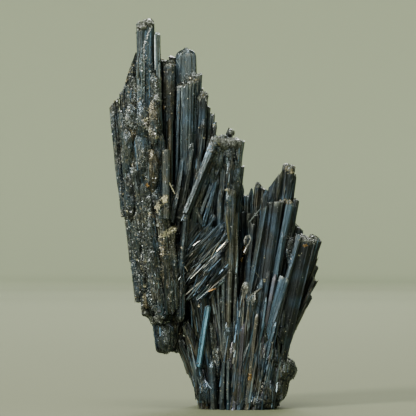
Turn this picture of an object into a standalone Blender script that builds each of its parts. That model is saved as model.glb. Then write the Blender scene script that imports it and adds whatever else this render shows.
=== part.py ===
"""A stibnite crystal cluster: sprays of long striated blades, grown together and fanning up from a narrow foot.

The cluster is one natural piece, so every crystal is fused into one closed solid, cut off flat at its foot.
Lengths in the tables are millimetres, X to the right, Y away from the front and Z up from the cut foot.
"""

import math
import random

import bmesh
import bpy
from mathutils import Vector

MM = 0.001
SEED = 13

# How far the sprays are spread from front to back, against the Y values in the tables
DEPTH_SPREAD = 1.35

# Crystals at least this wide, in millimetres, have eight sides, the next six, and finer ones four
WIDE_BLADE = 2.45
SMALL_BLADE = 0.85

# Corners of a crystal's section, as shares of its width and depth
EIGHT_SIDED = [(0.5, -0.2), (0.5, 0.22), (0.24, 0.5), (-0.26, 0.5), (-0.5, 0.2), (-0.5, -0.24), (-0.22, -0.5),
               (0.27, -0.5)]
SIX_SIDED = [(0.5, -0.05), (0.26, 0.5), (-0.24, 0.5), (-0.5, 0.06), (-0.27, -0.5), (0.23, -0.5)]
FOUR_SIDED = [(0.5, -0.3), (0.3, 0.5), (-0.5, 0.28), (-0.3, -0.5)]

# Rings of each kind of end, lowest first: share of the full section, and share of the end's height above the ring
END_RINGS = {
    "chisel": [(1.0, 0.0)],
    "point": [(1.0, 1.0), (0.45, 0.0)],
    "dome": [(1.0, 1.0), (0.84, 0.45), (0.5, 0.1)],
}

# Unevenness of corners, as a share of the size, and of broken ends, in millimetres
CORNER_JITTER = 0.07
END_JITTER = 0.10

# Least and greatest swelling of a lump's facets, as shares of its size
LUMP_SWELLING = (0.88, 1.08)

# Half the size of the block that cuts the foot off flat, in millimetres
CUTTER_REACH = 40.0

# Points of the fused surface closer than this, in millimetres, become one
MERGE_DISTANCE = 0.004

# A crystal is a little narrower where it grew from than at its tip
ROOT_SCALE = 0.86

# Each row is root (x, y, z), tip (x, y, z), width, depth, turn about the long axis in degrees, end and its amount.
# A chisel's amount is how much lower its right side is than its left, a point's and a dome's is its height.
LEFT_TOWER = [
    ((-17.4, -0.8, 38.0), (-18.45, -0.7, 77.0), 2.5, 2.4, 8, "chisel", -0.7),
    ((-15.9, -0.2, 38.0), (-17.15, 0.1, 77.5), 1.8, 2.3, -12, "point", 0.5),
    ((-14.9, -0.9, 45.0), (-15.5, -1.0, 74.7), 1.1, 1.4, 20, "chisel", 0.4),
    ((-14.7, 0.9, 45.0), (-15.3, 0.8, 70.2), 1.2, 1.4, -15, "point", 0.8),
    ((-20.6, -0.6, 42.0), (-20.9, -0.8, 67.8), 2.5, 2.4, 4, "chisel", -6.4),
    ((-21.6, 0.4, 42.0), (-22.2, 0.3, 64.0), 2.2, 2.4, -6, "chisel", -3.2),
    ((-20.2, -2.4, 40.0), (-20.8, -2.1, 64.6), 2.1, 1.8, 10, "chisel", -2.5),
    ((-18.6, -2.6, 44.0), (-18.9, -2.2, 70.6), 1.5, 1.4, -8, "point", 1.6),
    ((-21.9, -0.6, 38.0), (-24.15, -0.2, 60.8), 1.9, 2.7, 6, "chisel", -1.6),
    ((-18.9, 0.4, 21.2), (-22.7, 0.6, 50.8), 2.1, 2.8, -4, "chisel", 0.3),
    ((-19.0, -2.6, 22.0), (-22.2, -2.6, 58.6), 2.0, 2.4, 12, "chisel", 1.4),
    ((-17.0, -4.2, 20.0), (-20.6, -3.9, 59.6), 2.4, 2.4, -10, "point", 2.0),
    ((-15.4, -4.6, 20.0), (-18.4, -4.1, 57.4), 2.4, 2.4, 14, "chisel", 0.8),
    ((-14.2, -3.8, 26.0), (-16.1, -3.4, 62.0), 2.1, 2.2, -16, "chisel", -0.6),
    ((-13.8, -3.8, 28.0), (-14.9, -3.2, 54.6), 1.7, 2.0, 9, "point", 1.4),
    ((-13.3, -3.8, 33.0), (-13.9, -3.6, 51.2), 1.5, 1.4, -5, "chisel", 0.1),
    ((-12.9, -1.8, 36.0), (-13.0, -1.4, 57.4), 1.0, 1.0, 8, "chisel", 0.0),
    ((-15.2, -2.0, 44.0), (-16.2, -2.2, 66.4), 1.7, 1.6, -20, "point", 1.2),
    ((-15.5, -5.4, 21.0), (-20.2, -4.9, 47.6), 1.8, 1.8, 8, "chisel", 0.9),
    ((-14.4, -5.8, 18.0), (-17.8, -5.4, 41.9), 2.0, 2.0, -12, "chisel", 0.5),
    ((-12.8, -5.4, 19.0), (-15.0, -5.2, 41.4), 1.9, 2.0, 18, "chisel", -0.4),
    ((-11.6, -4.8, 20.0), (-12.9, -4.8, 36.0), 1.8, 1.8, -8, "point", 1.2),
    ((-16.0, -2.0, 30.0), (-13.6, -1.6, 10.8), 4.0, 3.8, 6, "dome", 1.6),
    ((-11.6, -0.6, 26.0), (-12.2, -1.4, 11.2), 3.0, 3.4, -14, "chisel", -0.4),
    ((-18.6, -2.4, 34.0), (-17.5, -3.0, 18.2), 2.2, 2.6, 10, "dome", 0.8),
    ((-19.9, -0.8, 36.0), (-19.2, -0.8, 21.1), 1.2, 2.0, -4, "chisel", 0.1),
    ((-15.8, -3.4, 30.0), (-15.5, -3.8, 17.2), 2.2, 2.2, -18, "chisel", 0.6),
    ((-10.7, -4.2, 31.0), (-11.0, -4.9, 17.4), 1.7, 1.5, 4, "dome", 0.9),
]

SECOND_TOWER = [
    ((-9.2, 2.4, 48.0), (-9.95, 3.0, 72.0), 4.3, 1.4, 4, "dome", 2.3),
    ((-13.0, 0.8, 42.0), (-13.4, 1.0, 69.2), 2.7, 2.6, -10, "chisel", 0.3),
    ((-12.2, 2.2, 48.0), (-12.5, 2.3, 70.2), 1.6, 1.6, 16, "chisel", 0.5),
    ((-14.2, 2.2, 48.0), (-14.6, 2.1, 69.8), 1.1, 1.6, -12, "point", 0.6),
    ((-10.3, -0.6, 44.0), (-10.75, -0.2, 64.0), 1.4, 1.8, 10, "chisel", 0.3),
    ((-12.6, -2.6, 36.5), (-10.3, -1.4, 50.5), 1.4, 1.5, -6, "point", 1.6),
    ((-8.8, 0.4, 42.0), (-7.8, 0.5, 66.4), 2.4, 2.6, -8, "chisel", -1.0),
    ((-9.4, -0.8, 42.0), (-9.3, -0.5, 64.6), 2.0, 1.8, 14, "chisel", -1.0),
    ((-7.4, -0.4, 42.0), (-6.7, -0.3, 62.7), 1.8, 2.0, 5, "chisel", -0.7),
    ((-6.8, 0.9, 42.0), (-5.4, 0.9, 60.2), 1.3, 1.8, -14, "chisel", 0.4),
    ((-6.4, 0.2, 42.0), (-4.6, 0.2, 58.6), 1.2, 1.5, 10, "chisel", 0.6),
    ((-6.4, -0.6, 42.0), (-3.9, -0.6, 57.0), 1.1, 1.3, -8, "point", 0.7),
    ((-8.0, -1.6, 41.0), (-6.3, -1.5, 57.4), 1.6, 1.6, 12, "point", 1.0),
    ((-10.6, -2.8, 38.0), (-8.5, -1.9, 52.6), 1.3, 1.3, -10, "point", 1.2),
    ((-9.8, -3.2, 38.6), (-7.2, -2.6, 46.6), 1.4, 1.3, 6, "chisel", 0.0),
    ((-11.2, -3.6, 37.0), (-9.1, -2.9, 47.2), 1.2, 1.3, -15, "point", 1.0),
]

MIDDLE_TOWER = [
    ((-10.3, -4.2, 37.0), (-3.85, -2.2, 53.6), 1.7, 1.6, 6, "chisel", 0.4),
    ((-8.8, -3.4, 37.0), (-2.9, -1.4, 52.8), 1.4, 1.5, -12, "chisel", 0.3),
    ((-7.4, -3.0, 37.0), (-2.0, -1.0, 51.6), 1.3, 1.5, 15, "point", 0.9),
    ((-6.4, -3.8, 36.0), (-3.8, -2.9, 45.2), 1.1, 1.1, -6, "point", 1.2),
    ((-5.2, -1.0, 34.0), (-2.5, 0.0, 54.3), 2.0, 2.6, 8, "chisel", -0.4),
    ((-2.0, 1.2, 44.0), (-1.0, 1.8, 55.7), 1.4, 1.5, -10, "point", 0.7),
    ((-3.6, -0.6, 32.0), (-0.5, 0.1, 53.8), 2.2, 2.6, -6, "chisel", 0.3),
    ((-2.0, -0.4, 32.0), (1.1, 0.6, 53.3), 1.8, 2.4, 11, "chisel", 0.4),
    ((-0.6, 1.0, 32.0), (1.4, 1.3, 48.1), 1.2, 1.8, -9, "chisel", -0.6),
    ((-0.2, 1.4, 30.0), (1.4, 2.0, 44.4), 1.3, 1.8, 7, "point", 0.8),
    ((-2.8, -2.6, 26.0), (-0.9, -1.6, 49.4), 1.6, 1.7, 14, "point", 1.4),
    ((-1.7, -3.2, 20.0), (-0.9, -2.7, 43.4), 1.9, 1.8, -8, "chisel", 0.5),
    ((-3.6, -3.2, 30.0), (-2.8, -2.7, 43.6), 1.1, 1.3, 10, "point", 0.8),
    ((-0.4, -2.8, 20.0), (0.4, -2.0, 38.8), 1.0, 1.2, -14, "point", 0.9),
    ((-10.8, -4.4, 26.5), (-9.6, -4.3, 38.6), 1.3, 1.3, 5, "chisel", -0.5),
    ((-9.2, -3.4, 31.0), (-7.8, -3.8, 39.9), 1.5, 1.4, -16, "chisel", 0.6),
    ((-5.6, -3.4, 33.0), (-7.5, -3.8, 39.2), 1.2, 1.2, 9, "point", 0.8),
    ((3.4, 3.0, 28.0), (4.75, 3.8, 44.9), 1.7, 1.8, 10, "point", 0.9),
    ((2.6, 2.4, 28.0), (3.4, 3.0, 43.6), 1.1, 1.3, -12, "point", 0.7),
    ((4.6, 2.8, 28.0), (5.8, 3.2, 43.8), 1.1, 1.4, 15, "chisel", 0.7),
    ((2.0, 1.6, 26.0), (2.2, 2.2, 42.3), 1.8, 2.2, -6, "chisel", 0.2),
]

NEEDLE_HOLLOW = [
    ((-9.4, -3.2, 25.8), (-2.2, -3.5, 36.8), 0.8, 0.8, 0, "point", 0.8),
    ((-8.6, -3.4, 25.4), (-1.8, -3.6, 34.6), 0.8, 0.8, 20, "point", 0.8),
    ((-9.9, -3.4, 28.0), (-4.2, -3.4, 38.2), 0.8, 0.8, -20, "point", 0.8),
    ((-7.8, -3.6, 25.8), (-1.4, -3.8, 33.2), 0.8, 0.8, 10, "point", 0.8),
    ((-9.6, -3.4, 21.6), (-4.4, -3.8, 25.8), 0.8, 0.8, -10, "point", 0.6),
    ((-9.0, -3.2, 23.4), (-3.4, -3.6, 28.8), 0.8, 0.8, 30, "point", 0.6),
]

LEFT_FLANK = [
    ((-4.4, -1.0, -2.5), (-11.2, -1.5, 14.6), 2.1, 3.4, 6, "point", 1.5),
    ((-4.0, -2.4, -2.5), (-9.8, -2.7, 17.2), 2.2, 2.4, -12, "point", 1.6),
    ((-3.6, -2.4, -1.0), (-8.4, -2.6, 22.4), 1.8, 2.2, 10, "point", 1.4),
    ((-4.2, -3.2, 0.0), (-6.9, -3.0, 21.8), 1.5, 1.7, -7, "point", 1.2),
    ((-5.6, -3.2, -2.0), (-9.1, -3.6, 12.6), 1.8, 1.8, 14, "point", 1.2),
    ((-5.4, -3.8, -2.5), (-7.8, -4.0, 8.4), 2.1, 2.0, -10, "point", 1.0),
    ((-3.4, -3.4, -1.0), (-4.1, -3.2, 19.0), 1.3, 1.5, 8, "point", 1.4),
    ((-7.35, -4.5, 8.3), (-5.35, -3.8, 20.2), 1.25, 0.9, 0, "chisel", -0.1),
    ((-2.7, -4.3, 10.0), (-3.6, -3.5, 28.6), 0.9, 1.0, 12, "point", 0.8),
    ((-2.8, -4.2, 12.0), (-4.6, -3.5, 22.8), 0.8, 0.8, -10, "point", 0.7),
    ((-2.1, -4.4, 6.0), (-2.4, -3.4, 30.0), 1.1, 1.3, 6, "point", 1.0),
    ((-1.6, -4.6, 4.0), (-1.1, -3.6, 27.8), 1.2, 1.3, -14, "point", 0.9),
    ((-0.6, -4.2, 6.0), (0.2, -3.4, 26.8), 0.9, 1.2, 9, "point", 0.8),
]

RIGHT_TOWER = [
    ((3.6, -1.8, 14.0), (8.4, -1.2, 45.9), 2.8, 2.8, 6, "chisel", -4.4),
    ((6.0, -1.4, 14.0), (10.85, -1.0, 48.3), 2.4, 2.7, -8, "chisel", 0.5),
    ((8.2, -0.4, 20.0), (11.95, 0.2, 46.6), 0.9, 1.6, 14, "point", 0.6),
    ((2.8, -3.1, 6.0), (7.9, -2.5, 41.0), 3.7, 2.4, 3, "chisel", -0.8),
    ((1.7, -3.6, 12.0), (6.2, -3.0, 43.2), 1.1, 1.5, -12, "point", 0.9),
    ((1.0, -3.2, 10.0), (3.5, -3.2, 36.7), 1.2, 1.4, 10, "chisel", 0.3),
    ((6.4, -2.4, 14.0), (10.95, -1.9, 40.4), 1.8, 1.9, -5, "chisel", 0.2),
    ((7.6, -1.4, 14.0), (12.3, -0.8, 41.5), 1.2, 1.9, 12, "chisel", 0.7),
    ((7.6, -3.0, 20.0), (9.4, -2.8, 34.9), 0.7, 1.0, 0, "point", 0.6),
    ((5.6, -3.6, 6.0), (12.55, -2.3, 34.2), 1.2, 1.4, 8, "chisel", 0.4),
    ((4.4, -4.3, 2.0), (9.65, -3.4, 25.6), 2.0, 1.7, -6, "chisel", 0.3),
    ((3.4, -4.4, 2.0), (7.95, -3.8, 26.6), 1.2, 1.5, 15, "point", 1.0),
    ((2.6, -4.6, 1.0), (6.6, -4.0, 27.4), 1.3, 1.5, -9, "point", 1.2),
    ((2.0, -4.6, 1.0), (5.3, -4.1, 25.6), 1.3, 1.5, 11, "point", 1.0),
    ((1.2, -4.8, 0.0), (3.4, -4.5, 22.4), 1.7, 1.7, -15, "chisel", 0.4),
    ((0.2, -4.6, 0.0), (1.4, -4.2, 22.0), 1.6, 1.7, 7, "point", 1.2),
    ((5.6, -4.6, 4.0), (7.6, -4.2, 17.2), 1.0, 1.2, -10, "point", 0.7),
]

FAR_RIGHT_TOWER = [
    ((6.6, 0.2, 4.0), (16.25, 0.8, 33.9), 2.6, 3.0, 5, "chisel", 0.9),
    ((7.2, -0.8, 4.0), (14.35, -0.4, 33.9), 2.3, 2.6, -9, "chisel", 0.2),
    ((9.0, 0.8, 18.0), (12.9, 1.4, 35.9), 2.0, 2.4, 12, "chisel", 1.3),
    ((6.4, -1.8, 3.0), (13.5, -1.4, 30.8), 2.6, 2.0, -5, "chisel", 0.4),
    ((9.6, 0.8, 13.0), (16.15, 1.4, 28.3), 1.5, 2.2, 9, "chisel", 0.6),
    ((9.4, 0.2, 13.0), (15.8, 0.7, 25.7), 1.5, 2.2, -12, "chisel", 0.6),
    ((9.2, -0.2, 12.0), (14.9, 0.1, 22.6), 1.6, 2.0, 6, "chisel", 0.9),
    ((8.2, -0.2, 9.0), (13.0, -0.2, 19.2), 1.6, 2.0, -8, "chisel", 0.8),
    ((6.9, 0.0, 2.0), (11.4, 0.0, 16.4), 1.4, 2.2, 10, "chisel", 0.7),
    ((6.6, -0.6, 1.0), (9.9, -0.8, 12.0), 1.6, 2.2, -14, "chisel", 0.6),
    ((7.6, -3.4, 7.0), (9.6, -3.0, 19.4), 1.1, 1.3, 12, "point", 1.0),
    ((8.6, -2.6, 7.0), (10.3, -2.2, 17.0), 1.0, 1.2, -8, "point", 0.8),
]

FOOT_FAN = [
    ((-2.6, -5.0, -2.5), (-2.4, -4.9, 8.4), 1.3, 1.5, 8, "point", 0.8),
    ((-1.5, -5.4, -2.5), (-1.35, -5.0, 9.7), 0.9, 1.0, -10, "point", 0.9),
    ((-0.7, -5.4, -2.5), (1.55, -4.7, 17.6), 1.6, 1.6, 5, "point", 1.2),
    ((0.6, -5.5, -2.5), (3.0, -4.8, 14.2), 1.3, 1.5, -13, "point", 1.0),
    ((1.9, -5.5, -2.5), (4.4, -4.8, 12.8), 1.4, 1.5, 11, "point", 1.0),
    ((3.3, -5.3, -2.5), (5.7, -4.6, 12.6), 1.4, 1.6, -6, "point", 1.0),
    ((-4.2, -4.6, -2.5), (-4.7, -4.4, 9.4), 1.6, 1.7, 14, "point", 1.0),
    ((4.8, -4.8, -2.5), (7.2, -4.2, 11.8), 1.7, 1.8, -9, "point", 1.1),
    ((-5.8, -3.6, -2.5), (-7.0, -3.9, 6.6), 2.1, 2.2, 7, "point", 1.0),
    ((6.2, -3.8, -2.5), (8.2, -3.2, 9.0), 2.2, 2.2, -11, "point", 1.2),
]

BACK = [
    ((-16.8, 3.6, 20.0), (-19.6, 3.4, 62.0), 3.3, 2.8, 172, "chisel", 1.9),
    ((-19.0, 2.6, 23.0), (-21.6, 2.4, 55.0), 1.7, 2.2, 160, "chisel", -1.2),
    ((-14.6, 4.2, 24.0), (-16.6, 3.6, 68.4), 2.0, 2.2, 184, "point", 1.8),
    ((-14.4, 5.2, 18.5), (-18.4, 5.4, 49.0), 1.5, 1.7, 168, "chisel", 0.8),
    ((-17.2, 4.8, 21.0), (-19.2, 4.6, 41.8), 2.6, 1.9, 192, "chisel", 1.2),
    ((-15.6, 5.0, 24.0), (-12.8, 5.4, 57.2), 1.6, 1.8, 176, "chisel", -1.0),
    ((-12.2, 4.4, 30.0), (-12.6, 4.0, 66.0), 2.6, 2.2, 186, "point", 1.4),
    ((-10.4, 4.6, 32.0), (-10.0, 4.8, 59.4), 1.3, 2.0, 170, "chisel", 1.0),
    ((-8.4, 3.6, 34.0), (-7.4, 3.4, 63.6), 2.2, 2.2, 190, "chisel", -0.8),
    ((-11.6, 5.4, 24.0), (-6.6, 5.4, 50.6), 2.0, 1.8, 174, "point", 1.4),
    ((-6.8, 3.8, 28.0), (-4.6, 3.8, 54.8), 1.5, 2.0, 182, "point", 1.4),
    ((-14.2, 2.8, 26.0), (-14.2, 2.4, 12.6), 3.0, 2.8, 170, "chisel", 0.6),
    ((-11.4, 4.2, 28.0), (-11.8, 4.2, 15.0), 2.0, 2.4, 188, "chisel", -0.5),
    ((-4.2, 3.4, 14.0), (-1.6, 3.6, 50.6), 3.2, 2.4, 172, "chisel", 0.9),
    ((-2.2, 4.8, 10.0), (0.6, 5.0, 45.2), 1.6, 2.0, 186, "point", 1.6),
    ((-3.0, 5.2, 8.0), (-7.2, 6.0, 41.0), 2.0, 2.0, 168, "chisel", -0.9),
    ((-7.6, 4.2, 6.0), (-10.8, 5.0, 38.6), 2.8, 2.4, 180, "point", 1.6),
    ((-5.6, 3.0, -1.0), (-10.8, 3.2, 25.6), 2.6, 2.8, 174, "point", 1.8),
    ((-3.4, 5.0, -2.5), (-8.2, 6.4, 28.4), 1.7, 2.0, 190, "chisel", 1.0),
    ((-2.6, 5.8, -2.5), (0.2, 7.4, 33.4), 2.6, 2.0, 172, "point", 1.6),
    ((0.8, 5.4, -2.5), (3.0, 6.6, 38.2), 3.0, 2.2, 182, "chisel", -1.0),
    ((2.2, 4.0, 0.0), (6.2, 4.6, 41.6), 2.0, 2.6, 176, "point", 1.6),
    ((5.4, 5.4, -2.5), (6.4, 6.8, 30.6), 1.5, 1.8, 190, "chisel", 1.2),
    ((4.6, 3.2, 4.0), (9.4, 2.6, 43.2), 2.6, 2.4, 168, "chisel", 1.0),
    ((6.0, 2.4, 8.0), (11.2, 1.6, 39.6), 1.5, 2.4, 184, "point", 1.4),
    ((6.0, 4.4, 0.0), (12.0, 4.2, 31.6), 3.2, 2.6, 174, "chisel", 1.2),
    ((7.2, 3.0, 2.0), (14.8, 3.2, 31.8), 2.0, 2.4, 188, "chisel", -0.8),
    ((6.0, 4.0, -2.5), (11.6, 4.6, 21.8), 2.2, 2.2, 170, "point", 1.6),
    ((5.6, 5.2, -2.5), (9.8, 6.4, 24.6), 1.6, 1.9, 182, "chisel", 0.8),
    ((1.0, 6.2, -2.5), (5.6, 7.6, 21.6), 1.8, 1.8, 176, "point", 1.4),
    ((-0.4, 6.2, -2.5), (-0.8, 7.8, 19.6), 2.8, 1.9, 188, "chisel", 0.9),
    ((-3.4, 5.8, -2.5), (-5.2, 7.4, 16.4), 1.5, 1.8, 170, "point", 1.4),
    ((-5.6, 4.2, -2.5), (-8.6, 5.4, 13.2), 2.6, 2.2, 184, "chisel", -0.8),
]

# Massive stibnite that the crystals grew from. It fills the middle of each spray and shows at the foot.
CORES = [
    ((-1.5, 0.4, -2.5), (-4.8, 0.8, 25.0), 9.6, 11.4, 4, "chisel", 1.0),
    ((3.0, 0.4, -2.5), (6.2, 0.8, 27.0), 8.6, 11.4, -5, "chisel", -1.0),
    ((-14.6, -0.2, 18.4), (-18.2, -0.2, 58.6), 7.4, 11.6, 3, "chisel", -2.2),
    ((-12.9, 0.4, 12.0), (-8.6, 0.4, 27.0), 3.4, 7.6, 4, "chisel", 0.6),
    ((-9.8, 1.8, 30.0), (-9.8, 2.0, 61.0), 5.2, 6.4, -4, "chisel", 1.0),
    ((-13.0, 1.0, 16.5), (-10.5, 1.0, 44.0), 7.2, 9.0, 5, "chisel", 1.0),
    ((-5.8, 1.4, 14.0), (-6.4, 1.4, 38.5), 8.0, 6.6, -3, "chisel", -0.5),
    ((-3.4, 1.6, 18.0), (-1.0, 2.0, 50.5), 4.6, 6.0, 6, "chisel", 0.4),
    ((2.6, 1.6, 16.0), (3.6, 2.0, 38.5), 5.4, 5.6, -6, "chisel", 0.8),
    ((4.6, 0.4, 10.0), (8.9, 0.6, 41.5), 5.0, 6.4, 4, "chisel", 1.2),
    ((4.6, 1.0, -2.5), (13.6, 1.6, 31.0), 4.4, 6.6, -4, "chisel", 0.8),
    ((0.6, 2.6, 14.0), (1.0, 2.8, 37.0), 4.4, 5.0, 4, "chisel", 0.6),
    ((-8.6, 2.4, 28.0), (-5.8, 2.6, 43.0), 5.0, 4.8, -4, "chisel", 0.6),
]

# Rounded, fine-grained lumps: centre and half sizes
LUMPS = [
    ((8.6, 0.6, 7.0), (2.9, 4.2, 3.4)),
    ((10.4, 0.8, 7.4), (1.9, 2.6, 2.2)),
    ((6.0, -2.2, 3.0), (3.2, 2.8, 4.0)),
    ((-5.8, 0.6, 4.4), (2.6, 4.2, 4.4)),
    ((-14.4, -3.8, 38.8), (1.9, 2.6, 2.6)),
    ((-12.8, -3.6, 34.2), (1.9, 2.6, 2.2)),
    ((-14.6, -1.8, 19.0), (2.6, 3.4, 3.2)),
    ((13.2, 0.2, 32.8), (1.8, 1.6, 1.8)),
]


def clear_scene():
    for obj in list(bpy.data.objects):
        bpy.data.objects.remove(obj)


def spread(point):
    """A point from the tables, with its Y value spread to the depth of the sprays."""
    return Vector((point[0], point[1] * DEPTH_SPREAD, point[2]))


def crystal_axes(root, tip, turn):
    """The long axis, and the directions of a crystal's width and depth."""
    along = (tip - root).normalized()
    side = Vector((along.z, 0.0, -along.x)).normalized()
    back = along.cross(side) * -1.0
    angle = math.radians(turn)
    across = side * math.cos(angle) + back * math.sin(angle)
    return along, across, along.cross(across) * -1.0


def section(width, depth, rng):
    """Uneven corners of a flattened prism, as offsets across and through it."""
    if width >= WIDE_BLADE:
        corners = EIGHT_SIDED
    elif width >= SMALL_BLADE:
        corners = SIX_SIDED
    else:
        corners = FOUR_SIDED
    return [
        (u * width * (1 + rng.uniform(-CORNER_JITTER, CORNER_JITTER)),
         v * depth * (1 + rng.uniform(-CORNER_JITTER, CORNER_JITTER)))
        for u, v in corners
    ]


def stations_of(root, tip, along, end, amount):
    """(scale of the section, centre, slope across, unevenness) of each ring of a crystal, from its root up."""
    slope = amount if end == "chisel" else 0.0
    stations = [(ROOT_SCALE, root, 0.0, 0.0)]
    for scale, above in END_RINGS[end]:
        stations.append((scale, tip - along * amount * above, slope, END_JITTER))
    return stations


def add_crystal(mesh, row, rng):
    """Adds one closed faceted crystal to the bmesh."""
    root, tip, width, depth, turn, end, amount = row
    root, tip = spread(root), spread(tip)
    along, across, through = crystal_axes(root, tip, turn)
    corners = section(width, depth, rng)
    rightward = 1.0 if across.x >= 0 else -1.0
    rings = []
    for scale, centre, slope, uneven in stations_of(root, tip, along, end, amount):
        ring = []
        for u, v in corners:
            drop = slope * rightward * u / width + rng.uniform(-uneven, uneven)
            point = centre + across * (u * scale) + through * (v * scale) - along * drop
            ring.append(mesh.verts.new(point * MM))
        rings.append(ring)
    count = len(corners)
    for lower, upper in zip(rings, rings[1:]):
        for k in range(count):
            mesh.faces.new((lower[k], lower[(k + 1) % count], upper[(k + 1) % count], upper[k]))
    mesh.faces.new(list(reversed(rings[0])))
    cap = mesh.verts.new((sum((v.co for v in rings[-1]), Vector()) / count) + along * (END_JITTER * MM))
    for k in range(count):
        mesh.faces.new((rings[-1][k], rings[-1][(k + 1) % count], cap))


def add_lump(mesh, centre, half_sizes, rng):
    """Adds one closed rounded lump with flat facets to the bmesh."""
    made = bmesh.ops.create_icosphere(mesh, subdivisions=2, radius=1.0)["verts"]
    for vert in made:
        grow = rng.uniform(*LUMP_SWELLING)
        vert.co = Vector(c + h * grow * p for c, h, p in zip(spread(centre), half_sizes, vert.co)) * MM


def grown_together():
    """All the crystals and lumps in one mesh object, still overlapping."""
    rng = random.Random(SEED)
    mesh = bmesh.new()
    for group in (CORES, LEFT_TOWER, SECOND_TOWER, MIDDLE_TOWER, NEEDLE_HOLLOW, LEFT_FLANK, RIGHT_TOWER,
                  FAR_RIGHT_TOWER, FOOT_FAN, BACK):
        for row in group:
            add_crystal(mesh, row, rng)
    for centre, half_sizes in LUMPS:
        add_lump(mesh, centre, half_sizes, rng)
    bmesh.ops.recalc_face_normals(mesh, faces=mesh.faces)
    data = bpy.data.meshes.new("overlapping_crystals")
    mesh.to_mesh(data)
    mesh.free()
    obj = bpy.data.objects.new("overlapping_crystals", data)
    bpy.context.scene.collection.objects.link(obj)
    return obj


def ground_cutter():
    """A block whose top is the flat cut through the foot."""
    mesh = bmesh.new()
    bmesh.ops.create_cube(mesh, size=2 * CUTTER_REACH * MM)
    data = bpy.data.meshes.new("ground_cutter")
    mesh.to_mesh(data)
    mesh.free()
    obj = bpy.data.objects.new("ground_cutter", data)
    obj.location = (0, 0, -CUTTER_REACH * MM)
    obj.hide_render = True
    obj.display_type = "WIRE"
    bpy.context.scene.collection.objects.link(obj)
    return obj


def islands(mesh):
    """The connected pieces of a bmesh, as lists of faces."""
    left, found = set(mesh.faces), []
    while left:
        stack, piece = [left.pop()], []
        while stack:
            face = stack.pop()
            piece.append(face)
            for edge in face.edges:
                for other in edge.link_faces:
                    if other in left:
                        left.remove(other)
                        stack.append(other)
        found.append(piece)
    return found


def enclosed_volume(faces):
    """Signed volume inside a closed set of faces."""
    total = 0.0
    for face in faces:
        first, *rest = [v.co for v in face.verts]
        for a, b in zip(rest, rest[1:]):
            total += first.dot(a.cross(b)) / 6.0
    return total


def fused(source, cutter):
    """The union of the overlapping crystals above the cut, as one closed mesh without the pockets sealed inside."""
    union = source.modifiers.new("fuse_and_cut_foot", "BOOLEAN")
    union.operation = "DIFFERENCE"
    union.solver = "EXACT"
    union.use_self = True
    union.object = cutter
    graph = bpy.context.evaluated_depsgraph_get()
    evaluated = source.evaluated_get(graph)
    mesh = bmesh.new()
    mesh.from_mesh(evaluated.to_mesh())
    evaluated.to_mesh_clear()
    pieces = sorted(islands(mesh), key=enclosed_volume)
    for piece in pieces[:-1]:
        bmesh.ops.delete(mesh, geom=piece, context="FACES")
    bmesh.ops.triangulate(mesh, faces=mesh.faces)
    bmesh.ops.remove_doubles(mesh, verts=mesh.verts, dist=MERGE_DISTANCE * MM)
    bmesh.ops.dissolve_degenerate(mesh, edges=mesh.edges, dist=MERGE_DISTANCE * MM)
    return mesh


def material():
    made = bpy.data.materials.new("stibnite")
    made.use_nodes = True
    shader = made.node_tree.nodes["Principled BSDF"]
    shader.inputs["Base Color"].default_value = (0.055, 0.068, 0.075, 1.0)
    shader.inputs["Metallic"].default_value = 0.7
    shader.inputs["Roughness"].default_value = 0.38
    return made


def main():
    clear_scene()
    source = grown_together()
    cutter = ground_cutter()
    mesh = fused(source, cutter)
    data = bpy.data.meshes.new("crystal_cluster")
    mesh.to_mesh(data)
    mesh.free()
    data.materials.append(material())
    bpy.data.objects.remove(source)
    bpy.data.objects.remove(cutter)
    cluster = bpy.data.objects.new("crystal_cluster", data)
    bpy.context.scene.collection.objects.link(cluster)


main()
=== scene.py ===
"""A stibnite crystal cluster dressed for its photograph.

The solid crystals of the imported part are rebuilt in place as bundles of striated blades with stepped, broken
ends, with needles, splinters, grains and crusts grown on them. Tables of crystals and other small things are
in millimetres, in the part's own frame. The stage, the lights and the camera are in metres.
"""
import math
import random

import bpy
import numpy as np
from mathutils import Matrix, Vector
from mathutils.bvhtree import BVHTree

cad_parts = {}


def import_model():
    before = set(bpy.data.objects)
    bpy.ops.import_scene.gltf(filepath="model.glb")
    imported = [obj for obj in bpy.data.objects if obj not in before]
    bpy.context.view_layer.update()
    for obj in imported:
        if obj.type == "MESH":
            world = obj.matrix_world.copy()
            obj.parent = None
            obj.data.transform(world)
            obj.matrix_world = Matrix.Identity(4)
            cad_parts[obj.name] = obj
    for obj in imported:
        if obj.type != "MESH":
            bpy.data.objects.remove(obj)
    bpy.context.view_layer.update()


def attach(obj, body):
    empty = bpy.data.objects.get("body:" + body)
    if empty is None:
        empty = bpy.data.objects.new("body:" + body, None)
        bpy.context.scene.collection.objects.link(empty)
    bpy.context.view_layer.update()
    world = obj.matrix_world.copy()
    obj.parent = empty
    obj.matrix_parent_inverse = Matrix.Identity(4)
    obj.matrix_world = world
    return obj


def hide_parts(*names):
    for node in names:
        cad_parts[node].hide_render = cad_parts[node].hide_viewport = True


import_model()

# A millimetre in metres, the start of the random numbers, and the least that anything is divided by
MM = 0.001
SEED = 11
TINY = 1e-6

# The crystals of the solid: how much its depth is drawn out, and a crystal's size at its root beside its tip
DEPTH_SPREAD = 1.35
ROOT_SCALE = 0.86

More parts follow.
